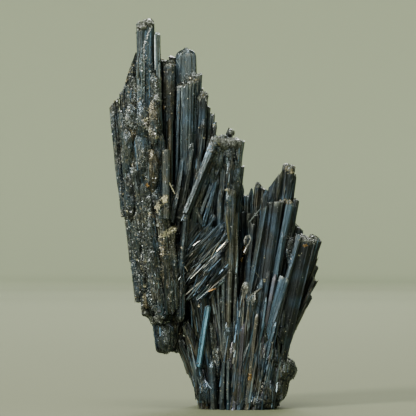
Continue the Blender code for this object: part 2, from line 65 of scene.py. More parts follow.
# Sections as shares of width and depth, and the least width that has eight sides and that has six
EIGHT_SIDED = [
    (0.5, -0.2), (0.5, 0.22), (0.24, 0.5), (-0.26, 0.5), (-0.5, 0.2), (-0.5, -0.24), (-0.22, -0.5),
    (0.27, -0.5),
]
SIX_SIDED = [(0.5, -0.05), (0.26, 0.5), (-0.24, 0.5), (-0.5, 0.06), (-0.27, -0.5), (0.23, -0.5)]
FOUR_SIDED = [(0.5, -0.3), (0.3, 0.5), (-0.5, 0.28), (-0.3, -0.5)]
WIDE_BLADE = 1.5
SMALL_BLADE = 0.85

# Points round a crystal and rings along it
MOST_ROUND = 84
LEAST_ROUND = 12
GIRTH_SHARE = 2.6 / 1.15
LEAST_RINGS = 5

# Blades of a bundle: their widths, how far they stand out, and how far they fall short at the ends
BLADE_WIDTHS = (0.14, 0.55)
FINE_RELIEF = 0.018
MOST_RELIEF = 0.15
RELIEF_SHARE = 0.055
MOST_DROP = 0.75
LEAST_DROP = 0.16
DROP_SHARE = 0.17

# Pits of a rough crystal, the worn length at its end, and its slight bend as a share of its length
PITTING = 0.075
WORN_REACH = 1.1
WORN_FADE = 0.9
BOW = 0.004
BOW_BACK = 0.003

# Distance between rings and between points round a crystal, for each kind
CORE_GRID = (3.0, 0.6)
COARSE_GRID = (0.55, 0.18)
GROUP_GRID = (0.9, 0.15)
BACK_GRID = (1.2, 0.19)
LATH_GRID = (0.3, 0.12)
FEATURE_GRID = (0.6, 0.12)

# Roughness from which a crystal counts as altered, that of the pale laths, and the least of all
COARSE_FROM = 4
LATH_ROUGH = 4
LEAST_ROUGH = 0.8

# How finely needles and lumps are divided, and the angle from a lump's pole to its first row
NEEDLE_SIDES = 5
NEEDLE_RINGS = 4
LUMP_ROWS = 22
LUMP_COLUMNS = 30
POLE = 0.02

# Grains are uneven octahedra, turned by up to a full turn
FULL_TURN = 6.28
OCTAHEDRON = np.array([(1, 0, 0), (-1, 0, 0), (0, 1, 0), (0, -1, 0), (0, 0, 1), (0, 0, -1)], float)
OCTAHEDRON_FACES = [
    (0, 2, 4, 4), (2, 1, 4, 4), (1, 3, 4, 4), (3, 0, 4, 4), (2, 0, 5, 5), (1, 2, 5, 5), (3, 1, 5, 5),
    (0, 3, 5, 5),
]

# Sizes of the lowest rings of a crystal, and each ring of its cap: size and rise
ROOT_RINGS = (0.3, 0.7)
CAP_RINGS = ((0.93, 0.07), (0.74, 0.12), (0.5, 0.14), (0.25, 0.14))

# Layers of noise on rough crystals and on lumps: size, seed, strength; and how far both are drawn out
ROUGH_LAYERS = ((1.5, 3, 1.2), (0.55, 5, 0.8), (0.25, 7, 0.25))
LUMP_LAYERS = ((1.1, 21, 1.7), (0.45, 22, 1.1), (0.22, 23, 0.3))
ROUGH_DRAWN = (1.0, 1.0, 0.38)
LUMP_DRAWN = (1.0, 1.0, 0.32)

# Lumps: how rough each kind is, half its depth, and the letters of its tones
LUMP_ROUGHNESS = 0.3
CAP_ROUGHNESS = 0.42
MATRIX_ROUGHNESS = 0.55
FILLING_ROUGHNESS = 0.4
SKIN_ROUGHNESS = 0.36
MIDDLE_SKIN_ROUGHNESS = 0.5
BACK_SKIN_ROUGHNESS = 0.42
CAP_DEPTH = 1.2
SKIN_DEPTH = 1.2
MIDDLE_SKIN_DEPTH = 1.0
BACK_SKIN_DEPTH = 1.0
MATRIX_TONES = "dnd"
SKIN_TONES = "nndo"
MIDDLE_SKIN_TONES = "mmng"
BACK_SKIN_TONES = "nmglno"

# The depth of the left tower's front skin, and how far the back's skin is sunk in
SKIN_Y = -6.0
BACK_SKIN_SUNK = 0.45

# Needles of the hollow: where they start, lean in degrees, lengths, widths, tones, and where they end
HOLLOW_X = (-10.6, -3.6)
HOLLOW_Z = (21.5, 34.0)
HOLLOW_FRONT = -4.2
HOLLOW_DEPTH = 1.9
HOLLOW_LEAN = (40, 9)
HOLLOW_LENGTHS = (2.5, 8.5)
HOLLOW_WIDTHS = (0.1, 0.14, 0.18, 0.24, 0.34)
HOLLOW_TONES = "ngndbdngl"
HOLLOW_RIGHT = -1.2
HOLLOW_TOP = 38.5

# Short blades in the matrix: lengths, widths, tones, and how far one may stand off the surface
SHORT_LENGTHS = (0.7, 2.6)
SHORT_WIDTHS = (0.14, 0.4)
SHORT_TONES = "dnbgm"
SHORT_REACH = 0.22

# Where along a splinter its gap to the surface is measured
MEASURED_AT = (0.0, 0.5, 0.9, 1.0)

# Small things: how many, where rays start, the depths they aim at, and the turns that count as the front
SHORT_BLADES = 46
HOLLOW_NEEDLES = 400
RAY_START = 90.0
SEEN_FROM = 60.0
DEPTHS = (-8, 9)
FRONT_TURNS = (-2.4, -0.74)

# Each row is root (x, y, z), tip (x, y, z), width, depth, turn about the long axis in degrees, end and
# amount. A chisel's amount is how much lower its right side is than its left, a point's and a dome's is
# its height.
LEFT_TOWER = [
    ((-17.4, -0.8, 38.0), (-18.45, -0.7, 77.0), 2.5, 2.4, 8, "chisel", -0.7),
    ((-15.9, -0.2, 38.0), (-17.15, 0.1, 77.5), 1.8, 2.3, -12, "point", 0.5),
    ((-14.9, -0.9, 45.0), (-15.5, -1.0, 74.7), 1.1, 1.4, 20, "chisel", 0.4),
    ((-14.7, 0.9, 45.0), (-15.3, 0.8, 70.2), 1.2, 1.4, -15, "point", 0.8),
    ((-20.6, -0.6, 42.0), (-20.9, -0.8, 67.8), 2.5, 2.4, 4, "chisel", -6.4),
    ((-21.6, 0.4, 42.0), (-22.2, 0.3, 64.0), 2.2, 2.4, -6, "chisel", -3.2),
    ((-20.2, -2.4, 40.0), (-20.8, -2.1, 64.6), 2.1, 1.8, 10, "chisel", -2.5),
    ((-18.6, -2.6, 44.0), (-18.9, -2.2, 70.6), 1.5, 1.4, -8, "point", 1.6),
    ((-21.9, -0.6, 38.0), (-24.15, -0.2, 60.8), 1.9, 2.7, 6, "chisel", -1.6),
    ((-18.9, 0.4, 21.2), (-22.7, 0.6, 50.8), 2.1, 2.8, -4, "chisel", 0.3),
    ((-19.0, -2.6, 22.0), (-22.2, -2.6, 58.6), 2.0, 2.4, 12, "chisel", 1.4),
    ((-17.0, -4.2, 20.0), (-20.6, -3.9, 59.6), 2.4, 2.4, -10, "point", 2.0),
    ((-15.4, -4.6, 20.0), (-18.4, -4.1, 57.4), 2.4, 2.4, 14, "chisel", 0.8),
    ((-14.2, -3.8, 26.0), (-16.1, -3.4, 62.0), 2.1, 2.2, -16, "chisel", -0.6),
    ((-13.8, -3.8, 28.0), (-14.9, -3.2, 54.6), 1.7, 2.0, 9, "point", 1.4),
    ((-13.3, -3.8, 33.0), (-13.9, -3.6, 51.2), 1.5, 1.4, -5, "chisel", 0.1),
    ((-12.9, -1.8, 36.0), (-13.0, -1.4, 57.4), 1.0, 1.0, 8, "chisel", 0.0),
    ((-15.2, -2.0, 44.0), (-16.2, -2.2, 66.4), 1.7, 1.6, -20, "point", 1.2),
    ((-15.5, -5.4, 21.0), (-20.2, -4.9, 47.6), 1.8, 1.8, 8, "chisel", 0.9),
    ((-14.4, -5.8, 18.0), (-17.8, -5.4, 41.9), 2.0, 2.0, -12, "chisel", 0.5),
    ((-12.8, -5.4, 19.0), (-15.0, -5.2, 41.4), 1.9, 2.0, 18, "chisel", -0.4),
    ((-11.6, -4.8, 20.0), (-12.9, -4.8, 36.0), 1.8, 1.8, -8, "point", 1.2),
    ((-16.0, -2.0, 30.0), (-13.6, -1.6, 10.8), 4.0, 3.8, 6, "dome", 1.6),
    ((-11.6, -0.6, 26.0), (-12.2, -1.4, 11.2), 3.0, 3.4, -14, "chisel", -0.4),
    ((-18.6, -2.4, 34.0), (-17.5, -3.0, 18.2), 2.2, 2.6, 10, "dome", 0.8),
    ((-19.9, -0.8, 36.0), (-19.2, -0.8, 21.1), 1.2, 2.0, -4, "chisel", 0.1),
    ((-15.8, -3.4, 30.0), (-15.5, -3.8, 17.2), 2.2, 2.2, -18, "chisel", 0.6),
    ((-10.7, -4.2, 31.0), (-11.0, -4.9, 17.4), 1.7, 1.5, 4, "dome", 0.9),
]

SECOND_TOWER = [
    ((-9.2, 2.4, 48.0), (-9.95, 3.0, 72.0), 4.3, 1.4, 4, "dome", 2.3),
    ((-13.0, 0.8, 42.0), (-13.4, 1.0, 69.2), 2.7, 2.6, -10, "chisel", 0.3),
    ((-12.2, 2.2, 48.0), (-12.5, 2.3, 70.2), 1.6, 1.6, 16, "chisel", 0.5),
    ((-14.2, 2.2, 48.0), (-14.6, 2.1, 69.8), 1.1, 1.6, -12, "point", 0.6),
    ((-10.3, -0.6, 44.0), (-10.75, -0.2, 64.0), 1.4, 1.8, 10, "chisel", 0.3),
    ((-12.6, -2.6, 36.5), (-10.3, -1.4, 50.5), 1.4, 1.5, -6, "point", 1.6),
    ((-8.8, 0.4, 42.0), (-7.8, 0.5, 66.4), 2.4, 2.6, -8, "chisel", -1.0),
    ((-9.4, -0.8, 42.0), (-9.3, -0.5, 64.6), 2.0, 1.8, 14, "chisel", -1.0),
    ((-7.4, -0.4, 42.0), (-6.7, -0.3, 62.7), 1.8, 2.0, 5, "chisel", -0.7),
    ((-6.8, 0.9, 42.0), (-5.4, 0.9, 60.2), 1.3, 1.8, -14, "chisel", 0.4),
    ((-6.4, 0.2, 42.0), (-4.6, 0.2, 58.6), 1.2, 1.5, 10, "chisel", 0.6),
    ((-6.4, -0.6, 42.0), (-3.9, -0.6, 57.0), 1.1, 1.3, -8, "point", 0.7),
    ((-8.0, -1.6, 41.0), (-6.3, -1.5, 57.4), 1.6, 1.6, 12, "point", 1.0),
    ((-10.6, -2.8, 38.0), (-8.5, -1.9, 52.6), 1.3, 1.3, -10, "point", 1.2),
    ((-9.8, -3.2, 38.6), (-7.2, -2.6, 46.6), 1.4, 1.3, 6, "chisel", 0.0),
    ((-11.2, -3.6, 37.0), (-9.1, -2.9, 47.2), 1.2, 1.3, -15, "point", 1.0),
]

MIDDLE_TOWER = [
    ((-10.3, -4.2, 37.0), (-3.85, -2.2, 53.6), 1.7, 1.6, 6, "chisel", 0.4),
    ((-8.8, -3.4, 37.0), (-2.9, -1.4, 52.8), 1.4, 1.5, -12, "chisel", 0.3),
    ((-7.4, -3.0, 37.0), (-2.0, -1.0, 51.6), 1.3, 1.5, 15, "point", 0.9),
    ((-6.4, -3.8, 36.0), (-3.8, -2.9, 45.2), 1.1, 1.1, -6, "point", 1.2),
    ((-5.2, -1.0, 34.0), (-2.5, 0.0, 54.3), 2.0, 2.6, 8, "chisel", -0.4),
    ((-2.0, 1.2, 44.0), (-1.0, 1.8, 55.7), 1.4, 1.5, -10, "point", 0.7),
    ((-3.6, -0.6, 32.0), (-0.5, 0.1, 53.8), 2.2, 2.6, -6, "chisel", 0.3),
    ((-2.0, -0.4, 32.0), (1.1, 0.6, 53.3), 1.8, 2.4, 11, "chisel", 0.4),
    ((-0.6, 1.0, 32.0), (1.4, 1.3, 48.1), 1.2, 1.8, -9, "chisel", -0.6),
    ((-0.2, 1.4, 30.0), (1.4, 2.0, 44.4), 1.3, 1.8, 7, "point", 0.8),
    ((-2.8, -2.6, 26.0), (-0.9, -1.6, 49.4), 1.6, 1.7, 14, "point", 1.4),
    ((-1.7, -3.2, 20.0), (-0.9, -2.7, 43.4), 1.9, 1.8, -8, "chisel", 0.5),
    ((-3.6, -3.2, 30.0), (-2.8, -2.7, 43.6), 1.1, 1.3, 10, "point", 0.8),
    ((-0.4, -2.8, 20.0), (0.4, -2.0, 38.8), 1.0, 1.2, -14, "point", 0.9),
    ((-10.8, -4.4, 26.5), (-9.6, -4.3, 38.6), 1.3, 1.3, 5, "chisel", -0.5),
    ((-9.2, -3.4, 31.0), (-7.8, -3.8, 39.9), 1.5, 1.4, -16, "chisel", 0.6),
    ((-5.6, -3.4, 33.0), (-7.5, -3.8, 39.2), 1.2, 1.2, 9, "point", 0.8),
    ((3.4, 3.0, 28.0), (4.75, 3.8, 44.9), 1.7, 1.8, 10, "point", 0.9),
    ((2.6, 2.4, 28.0), (3.4, 3.0, 43.6), 1.1, 1.3, -12, "point", 0.7),
    ((4.6, 2.8, 28.0), (5.8, 3.2, 43.8), 1.1, 1.4, 15, "chisel", 0.7),
    ((2.0, 1.6, 26.0), (2.2, 2.2, 42.3), 1.8, 2.2, -6, "chisel", 0.2),
]

NEEDLE_HOLLOW = [
    ((-9.4, -3.2, 25.8), (-2.2, -3.5, 36.8), 0.8, 0.8, 0, "point", 0.8),
    ((-8.6, -3.4, 25.4), (-1.8, -3.6, 34.6), 0.8, 0.8, 20, "point", 0.8),
    ((-9.9, -3.4, 28.0), (-4.2, -3.4, 38.2), 0.8, 0.8, -20, "point", 0.8),
    ((-7.8, -3.6, 25.8), (-1.4, -3.8, 33.2), 0.8, 0.8, 10, "point", 0.8),
    ((-9.6, -3.4, 21.6), (-4.4, -3.8, 25.8), 0.8, 0.8, -10, "point", 0.6),
    ((-9.0, -3.2, 23.4), (-3.4, -3.6, 28.8), 0.8, 0.8, 30, "point", 0.6),
]

LEFT_FLANK = [
    ((-4.4, -1.0, -2.5), (-11.2, -1.5, 14.6), 2.1, 3.4, 6, "point", 1.5),
    ((-4.0, -2.4, -2.5), (-9.8, -2.7, 17.2), 2.2, 2.4, -12, "point", 1.6),
    ((-3.6, -2.4, -1.0), (-8.4, -2.6, 22.4), 1.8, 2.2, 10, "point", 1.4),
    ((-4.2, -3.2, 0.0), (-6.9, -3.0, 21.8), 1.5, 1.7, -7, "point", 1.2),
    ((-5.6, -3.2, -2.0), (-9.1, -3.6, 12.6), 1.8, 1.8, 14, "point", 1.2),
    ((-5.4, -3.8, -2.5), (-7.8, -4.0, 8.4), 2.1, 2.0, -10, "point", 1.0),
    ((-3.4, -3.4, -1.0), (-4.1, -3.2, 19.0), 1.3, 1.5, 8, "point", 1.4),
    ((-7.35, -4.5, 8.3), (-5.35, -3.8, 20.2), 1.25, 0.9, 0, "chisel", -0.1),
    ((-2.7, -4.3, 10.0), (-3.6, -3.5, 28.6), 0.9, 1.0, 12, "point", 0.8),
    ((-2.8, -4.2, 12.0), (-4.6, -3.5, 22.8), 0.8, 0.8, -10, "point", 0.7),
    ((-2.1, -4.4, 6.0), (-2.4, -3.4, 30.0), 1.1, 1.3, 6, "point", 1.0),
    ((-1.6, -4.6, 4.0), (-1.1, -3.6, 27.8), 1.2, 1.3, -14, "point", 0.9),
    ((-0.6, -4.2, 6.0), (0.2, -3.4, 26.8), 0.9, 1.2, 9, "point", 0.8),
]

RIGHT_TOWER = [
    ((3.6, -1.8, 14.0), (8.4, -1.2, 45.9), 2.8, 2.8, 6, "chisel", -4.4),
    ((6.0, -1.4, 14.0), (10.85, -1.0, 48.3), 2.4, 2.7, -8, "chisel", 0.5),
    ((8.2, -0.4, 20.0), (11.95, 0.2, 46.6), 0.9, 1.6, 14, "point", 0.6),
    ((2.8, -3.1, 6.0), (7.9, -2.5, 41.0), 3.7, 2.4, 3, "chisel", -0.8),
    ((1.7, -3.6, 12.0), (6.2, -3.0, 43.2), 1.1, 1.5, -12, "point", 0.9),
    ((1.0, -3.2, 10.0), (3.5, -3.2, 36.7), 1.2, 1.4, 10, "chisel", 0.3),
    ((6.4, -2.4, 14.0), (10.95, -1.9, 40.4), 1.8, 1.9, -5, "chisel", 0.2),
    ((7.6, -1.4, 14.0), (12.3, -0.8, 41.5), 1.2, 1.9, 12, "chisel", 0.7),
    ((7.6, -3.0, 20.0), (9.4, -2.8, 34.9), 0.7, 1.0, 0, "point", 0.6),
    ((5.6, -3.6, 6.0), (12.55, -2.3, 34.2), 1.2, 1.4, 8, "chisel", 0.4),
    ((4.4, -4.3, 2.0), (9.65, -3.4, 25.6), 2.0, 1.7, -6, "chisel", 0.3),
    ((3.4, -4.4, 2.0), (7.95, -3.8, 26.6), 1.2, 1.5, 15, "point", 1.0),
    ((2.6, -4.6, 1.0), (6.6, -4.0, 27.4), 1.3, 1.5, -9, "point", 1.2),
    ((2.0, -4.6, 1.0), (5.3, -4.1, 25.6), 1.3, 1.5, 11, "point", 1.0),
    ((1.2, -4.8, 0.0), (3.4, -4.5, 22.4), 1.7, 1.7, -15, "chisel", 0.4),
    ((0.2, -4.6, 0.0), (1.4, -4.2, 22.0), 1.6, 1.7, 7, "point", 1.2),
    ((5.6, -4.6, 4.0), (7.6, -4.2, 17.2), 1.0, 1.2, -10, "point", 0.7),
]

FAR_RIGHT_TOWER = [
    ((6.6, 0.2, 4.0), (16.25, 0.8, 33.9), 2.6, 3.0, 5, "chisel", 0.9),
    ((7.2, -0.8, 4.0), (14.35, -0.4, 33.9), 2.3, 2.6, -9, "chisel", 0.2),
    ((9.0, 0.8, 18.0), (12.9, 1.4, 35.9), 2.0, 2.4, 12, "chisel", 1.3),
    ((6.4, -1.8, 3.0), (13.5, -1.4, 30.8), 2.6, 2.0, -5, "chisel", 0.4),
    ((9.6, 0.8, 13.0), (16.15, 1.4, 28.3), 1.5, 2.2, 9, "chisel", 0.6),
    ((9.4, 0.2, 13.0), (15.8, 0.7, 25.7), 1.5, 2.2, -12, "chisel", 0.6),
    ((9.2, -0.2, 12.0), (14.9, 0.1, 22.6), 1.6, 2.0, 6, "chisel", 0.9),
    ((8.2, -0.2, 9.0), (13.0, -0.2, 19.2), 1.6, 2.0, -8, "chisel", 0.8),
    ((6.9, 0.0, 2.0), (11.4, 0.0, 16.4), 1.4, 2.2, 10, "chisel", 0.7),
    ((6.6, -0.6, 1.0), (9.9, -0.8, 12.0), 1.6, 2.2, -14, "chisel", 0.6),
    ((7.6, -3.4, 7.0), (9.6, -3.0, 19.4), 1.1, 1.3, 12, "point", 1.0),
    ((8.6, -2.6, 7.0), (10.3, -2.2, 17.0), 1.0, 1.2, -8, "point", 0.8),
]

FOOT_FAN = [
    ((-2.6, -5.0, -2.5), (-2.4, -4.9, 8.4), 1.3, 1.5, 8, "point", 0.8),
    ((-1.5, -5.4, -2.5), (-1.35, -5.0, 9.7), 0.9, 1.0, -10, "point", 0.9),
    ((-0.7, -5.4, -2.5), (1.55, -4.7, 17.6), 1.6, 1.6, 5, "point", 1.2),
    ((0.6, -5.5, -2.5), (3.0, -4.8, 14.2), 1.3, 1.5, -13, "point", 1.0),
    ((1.9, -5.5, -2.5), (4.4, -4.8, 12.8), 1.4, 1.5, 11, "point", 1.0),
    ((3.3, -5.3, -2.5), (5.7, -4.6, 12.6), 1.4, 1.6, -6, "point", 1.0),
    ((-4.2, -4.6, -2.5), (-4.7, -4.4, 9.4), 1.6, 1.7, 14, "point", 1.0),
    ((4.8, -4.8, -2.5), (7.2, -4.2, 11.8), 1.7, 1.8, -9, "point", 1.1),
    ((-5.8, -3.6, -2.5), (-7.0, -3.9, 6.6), 2.1, 2.2, 7, "point", 1.0),
    ((6.2, -3.8, -2.5), (8.2, -3.2, 9.0), 2.2, 2.2, -11, "point", 1.2),
]

BACK = [
    ((-16.8, 3.6, 20.0), (-19.6, 3.4, 62.0), 3.3, 2.8, 172, "chisel", 1.9),
    ((-19.0, 2.6, 23.0), (-21.6, 2.4, 55.0), 1.7, 2.2, 160, "chisel", -1.2),
    ((-14.6, 4.2, 24.0), (-16.6, 3.6, 68.4), 2.0, 2.2, 184, "point", 1.8),
    ((-14.4, 5.2, 18.5), (-18.4, 5.4, 49.0), 1.5, 1.7, 168, "chisel", 0.8),
    ((-17.2, 4.8, 21.0), (-19.2, 4.6, 41.8), 2.6, 1.9, 192, "chisel", 1.2),
    ((-15.6, 5.0, 24.0), (-12.8, 5.4, 57.2), 1.6, 1.8, 176, "chisel", -1.0),
    ((-12.2, 4.4, 30.0), (-12.6, 4.0, 66.0), 2.6, 2.2, 186, "point", 1.4),
    ((-10.4, 4.6, 32.0), (-10.0, 4.8, 59.4), 1.3, 2.0, 170, "chisel", 1.0),
    ((-8.4, 3.6, 34.0), (-7.4, 3.4, 63.6), 2.2, 2.2, 190, "chisel", -0.8),
    ((-11.6, 5.4, 24.0), (-6.6, 5.4, 50.6), 2.0, 1.8, 174, "point", 1.4),
    ((-6.8, 3.8, 28.0), (-4.6, 3.8, 54.8), 1.5, 2.0, 182, "point", 1.4),
    ((-14.2, 2.8, 26.0), (-14.2, 2.4, 12.6), 3.0, 2.8, 170, "chisel", 0.6),
    ((-11.4, 4.2, 28.0), (-11.8, 4.2, 15.0), 2.0, 2.4, 188, "chisel", -0.5),
    ((-4.2, 3.4, 14.0), (-1.6, 3.6, 50.6), 3.2, 2.4, 172, "chisel", 0.9),
    ((-2.2, 4.8, 10.0), (0.6, 5.0, 45.2), 1.6, 2.0, 186, "point", 1.6),
    ((-3.0, 5.2, 8.0), (-7.2, 6.0, 41.0), 2.0, 2.0, 168, "chisel", -0.9),
    ((-7.6, 4.2, 6.0), (-10.8, 5.0, 38.6), 2.8, 2.4, 180, "point", 1.6),
    ((-5.6, 3.0, -1.0), (-10.8, 3.2, 25.6), 2.6, 2.8, 174, "point", 1.8),
    ((-3.4, 5.0, -2.5), (-8.2, 6.4, 28.4), 1.7, 2.0, 190, "chisel", 1.0),
    ((-2.6, 5.8, -2.5), (0.2, 7.4, 33.4), 2.6, 2.0, 172, "point", 1.6),
    ((0.8, 5.4, -2.5), (3.0, 6.6, 38.2), 3.0, 2.2, 182, "chisel", -1.0),
    ((2.2, 4.0, 0.0), (6.2, 4.6, 41.6), 2.0, 2.6, 176, "point", 1.6),
    ((5.4, 5.4, -2.5), (6.4, 6.8, 30.6), 1.5, 1.8, 190, "chisel", 1.2),
    ((4.6, 3.2, 4.0), (9.4, 2.6, 43.2), 2.6, 2.4, 168, "chisel", 1.0),
    ((6.0, 2.4, 8.0), (11.2, 1.6, 39.6), 1.5, 2.4, 184, "point", 1.4),
    ((6.0, 4.4, 0.0), (12.0, 4.2, 31.6), 3.2, 2.6, 174, "chisel", 1.2),
    ((7.2, 3.0, 2.0), (14.8, 3.2, 31.8), 2.0, 2.4, 188, "chisel", -0.8),
    ((6.0, 4.0, -2.5), (11.6, 4.6, 21.8), 2.2, 2.2, 170, "point", 1.6),
    ((5.6, 5.2, -2.5), (9.8, 6.4, 24.6), 1.6, 1.9, 182, "chisel", 0.8),
    ((1.0, 6.2, -2.5), (5.6, 7.6, 21.6), 1.8, 1.8, 176, "point", 1.4),
    ((-0.4, 6.2, -2.5), (-0.8, 7.8, 19.6), 2.8, 1.9, 188, "chisel", 0.9),
    ((-3.4, 5.8, -2.5), (-5.2, 7.4, 16.4), 1.5, 1.8, 170, "point", 1.4),
    ((-5.6, 4.2, -2.5), (-8.6, 5.4, 13.2), 2.6, 2.2, 184, "chisel", -0.8),
]

# Massive stibnite that the crystals grew from. It fills the middle of each spray and shows at the foot.
# Their darkest tone is partly painted shade: it makes the gaps between the crystals read as deep shade
CORES = [
    ((-1.5, 0.4, -2.5), (-4.8, 0.8, 25.0), 9.6, 11.4, 4, "chisel", 1.0),
    ((3.0, 0.4, -2.5), (6.2, 0.8, 27.0), 8.6, 11.4, -5, "chisel", -1.0),
    ((-14.6, -0.2, 18.4), (-18.2, -0.2, 58.6), 7.4, 11.6, 3, "chisel", -2.2),
    ((-12.9, 0.4, 12.0), (-8.6, 0.4, 27.0), 3.4, 7.6, 4, "chisel", 0.6),
    ((-9.8, 1.8, 30.0), (-9.8, 2.0, 61.0), 5.2, 6.4, -4, "chisel", 1.0),
    ((-13.0, 1.0, 16.5), (-10.5, 1.0, 44.0), 7.2, 9.0, 5, "chisel", 1.0),
    ((-5.8, 1.4, 14.0), (-6.4, 1.4, 38.5), 8.0, 6.6, -3, "chisel", -0.5),
    ((-3.4, 1.6, 18.0), (-1.0, 2.0, 50.5), 4.6, 6.0, 6, "chisel", 0.4),
    ((2.6, 1.6, 16.0), (3.6, 2.0, 38.5), 5.4, 5.6, -6, "chisel", 0.8),
    ((4.6, 0.4, 10.0), (8.9, 0.6, 41.5), 5.0, 6.4, 4, "chisel", 1.2),
    ((4.6, 1.0, -2.5), (13.6, 1.6, 31.0), 4.4, 6.6, -4, "chisel", 0.8),
    ((0.6, 2.6, 14.0), (1.0, 2.8, 37.0), 4.4, 5.0, 4, "chisel", 0.6),
    ((-8.6, 2.4, 28.0), (-5.8, 2.6, 43.0), 5.0, 4.8, -4, "chisel", 0.6),
]

# Rounded, fine-grained lumps: centre and half sizes
LUMPS = [
    ((8.6, 0.6, 7.0), (2.9, 4.2, 3.4)),
    ((10.4, 0.8, 7.4), (1.9, 2.6, 2.2)),
    ((6.0, -2.2, 3.0), (3.2, 2.8, 4.0)),
    ((-5.8, 0.6, 4.4), (2.6, 4.2, 4.4)),
    ((-14.4, -3.8, 38.8), (1.9, 2.6, 2.6)),
    ((-12.8, -3.6, 34.2), (1.9, 2.6, 2.2)),
    ((-14.6, -1.8, 19.0), (2.6, 3.4, 3.2)),
    ((13.2, 0.2, 32.8), (1.8, 1.6, 1.8)),
]

# Every table of crystals above, by the name of its piece
GROUPS = {
    "left_tower": LEFT_TOWER, "second_tower": SECOND_TOWER, "middle_tower": MIDDLE_TOWER,
    "needle_hollow": NEEDLE_HOLLOW, "left_flank": LEFT_FLANK, "right_tower": RIGHT_TOWER,
    "far_right_tower": FAR_RIGHT_TOWER, "foot_fan": FOOT_FAN, "back": BACK, "cores": CORES,
}

# One letter a row of each table above: which colour of PALETTE the crystal has
TONES = {
    "left_tower": "bnldnnnlnnnondgglnnnggdodnnd",
    "second_tower": "mdddlnmmnnnddnnn",
    "middle_tower": "mgmbmnmmnmdgmgmmggmgn",
    "needle_hollow": "gngdgn",
    "left_flank": "dddndodcnvngn",
    # The right towers' rows are nearly all the darkest tone: partly their own dark colour, partly painted
    # shade of the side away from the key light
    "right_tower": "ddddddddddnvdmvgn",
    "far_right_tower": "dddddddnodnn",
    "foot_fan": "mbvmgvnmgn",
    # The back's tones are lighter than the front's: painted light, which brightens the back where less light
    # falls
    "back": "mbngmlnmgnbnmngbmnblmmnbgmnmbgmnl",
    # The cores' darkest tone is partly painted shade in the gaps between the crystals
    "cores": "ddddddddddddd",
}

# One digit a row: how rough and pitted the crystal's faces are
ROUGHNESS = {
    "left_tower": "2202445355677642057776884373",
    "second_tower": "1333202122232020",
    "middle_tower": "010113220111111010112",
    "needle_hollow": "000000",
    "left_flank": "3332240001000",
    "right_tower": "21101001000000230",
    "far_right_tower": "203032332501",
    "foot_fan": "2011110245",
    "back": "333233332322133212332212332132333",
    "cores": "5565555455566",
}

# Groups whose blades differ less from each other in height and tone than those of the rest
CALM = {"right_tower": 0.6, "far_right_tower": 0.4}

# Blades that stand out in the photo, laid over the crystals above, with rows like theirs
FEATURES = [
    ((-7.3, -4.7, 8.4), (-5.4, -4.0, 20.3), 1.15, 0.7, 0, "chisel", -0.1),
    ((4.6, -4.5, 9.0), (9.7, -3.9, 26.0), 2.0, 0.5, 4, "chisel", 0.5),
    ((7.5, -4.3, 17.0), (12.75, -2.9, 34.3), 1.0, 0.9, 6, "chisel", 0.3),
    ((8.2, -3.6, 26.0), (9.4, -3.3, 34.7), 0.5, 0.5, 0, "point", 0.4),
    ((1.4, -4.2, 16.0), (5.9, -3.4, 40.0), 1.3, 0.9, 4, "chisel", -0.8),
    ((6.3, -3.2, 19.0), (10.95, -2.6, 41.0), 1.5, 0.9, -4, "chisel", 0.2),
    ((5.1, -5.0, 6.0), (8.0, -4.6, 17.2), 0.8, 0.7, 8, "point", 0.5),
    ((5.3, -5.1, 15.8), (6.1, -4.8, 22.0), 0.5, 0.5, 0, "point", 0.4),
    ((-2.6, -5.8, 2.0), (-2.3, -5.4, 9.4), 0.9, 0.8, -5, "chisel", 0.3),
    ((-1.5, -6.0, 2.0), (-1.4, -5.6, 9.5), 0.6, 0.6, 5, "chisel", 0.2),
    ((0.3, -5.6, 1.0), (1.6, -5.3, 16.6), 0.9, 0.8, -8, "point", 0.8),
    ((2.2, -5.6, 1.0), (4.4, -5.1, 19.0), 0.8, 0.8, 8, "point", 0.8),
    ((-10.0, -5.2, 38.6), (-3.5, -3.0, 54.0), 1.35, 0.9, 4, "chisel", 0.3),
    ((-11.9, -3.4, 39.6), (-10.6, -2.6, 47.4), 0.8, 0.7, -6, "point", 0.7),
    ((-13.05, -3.2, 44.0), (-13.0, -2.6, 57.4), 0.9, 0.7, 0, "chisel", 0.0),
    ((-13.75, -5.6, 37.6), (-13.7, -5.2, 51.2), 1.5, 0.8, 0, "chisel", 0.0),
    ((-17.5, -2.3, 44.0), (-17.25, -1.3, 76.3), 1.8, 0.9, -4, "chisel", -0.6),
    ((-18.9, -2.2, 50.0), (-18.85, -1.5, 75.8), 1.5, 0.9, 6, "chisel", -0.5),
    ((-9.6, -1.6, 44.0), (-9.35, -1.2, 64.4), 2.5, 1.3, -3, "chisel", -1.6),
    ((-11.75, -1.4, 41.0), (-11.1, -0.8, 63.9), 0.8, 0.8, 4, "chisel", 0.2),
    ((-7.3, -0.9, 44.0), (-6.1, -0.7, 62.9), 1.6, 1.1, -6, "chisel", 0.5),
    ((6.8, -1.7, 3.0), (14.0, -1.2, 33.7), 4.2, 2.8, 4, "chisel", 0.5),
    ((-3.2, -1.2, 34.0), (-1.7, -0.6, 53.2), 2.6, 1.8, 0, "chisel", 0.5),
    ((-9.9, 1.0, 50.0), (-9.85, 1.3, 71.2), 4.0, 0.7, 2, "dome", 2.0),
    ((-13.2, -0.9, 57.0), (-13.1, -0.7, 68.6), 2.3, 1.3, 0, "dome", 1.0),
]
FEATURE_TONES = "cbmbnbbbmmvgnnogbmmmddmme"

# Two lumps of the solid are drawn here as the slanting pale laths that the photo shows
CRUST_BALLS = ((-14.4, -3.8, 38.8), (-12.8, -3.6, 34.2))
CRUST_LATHS = [
    ((-16.0, -4.9, 37.9), (-13.6, -4.9, 41.9), 1.1, 1.0, 20, "chisel", 0.2),
    ((-14.7, -4.7, 33.2), (-11.8, -4.6, 35.5), 1.2, 1.0, -15, "chisel", 0.3),
    ((-14.5, -4.8, 30.4), (-14.0, -4.8, 33.9), 0.7, 0.8, 0, "chisel", 0.2),
]
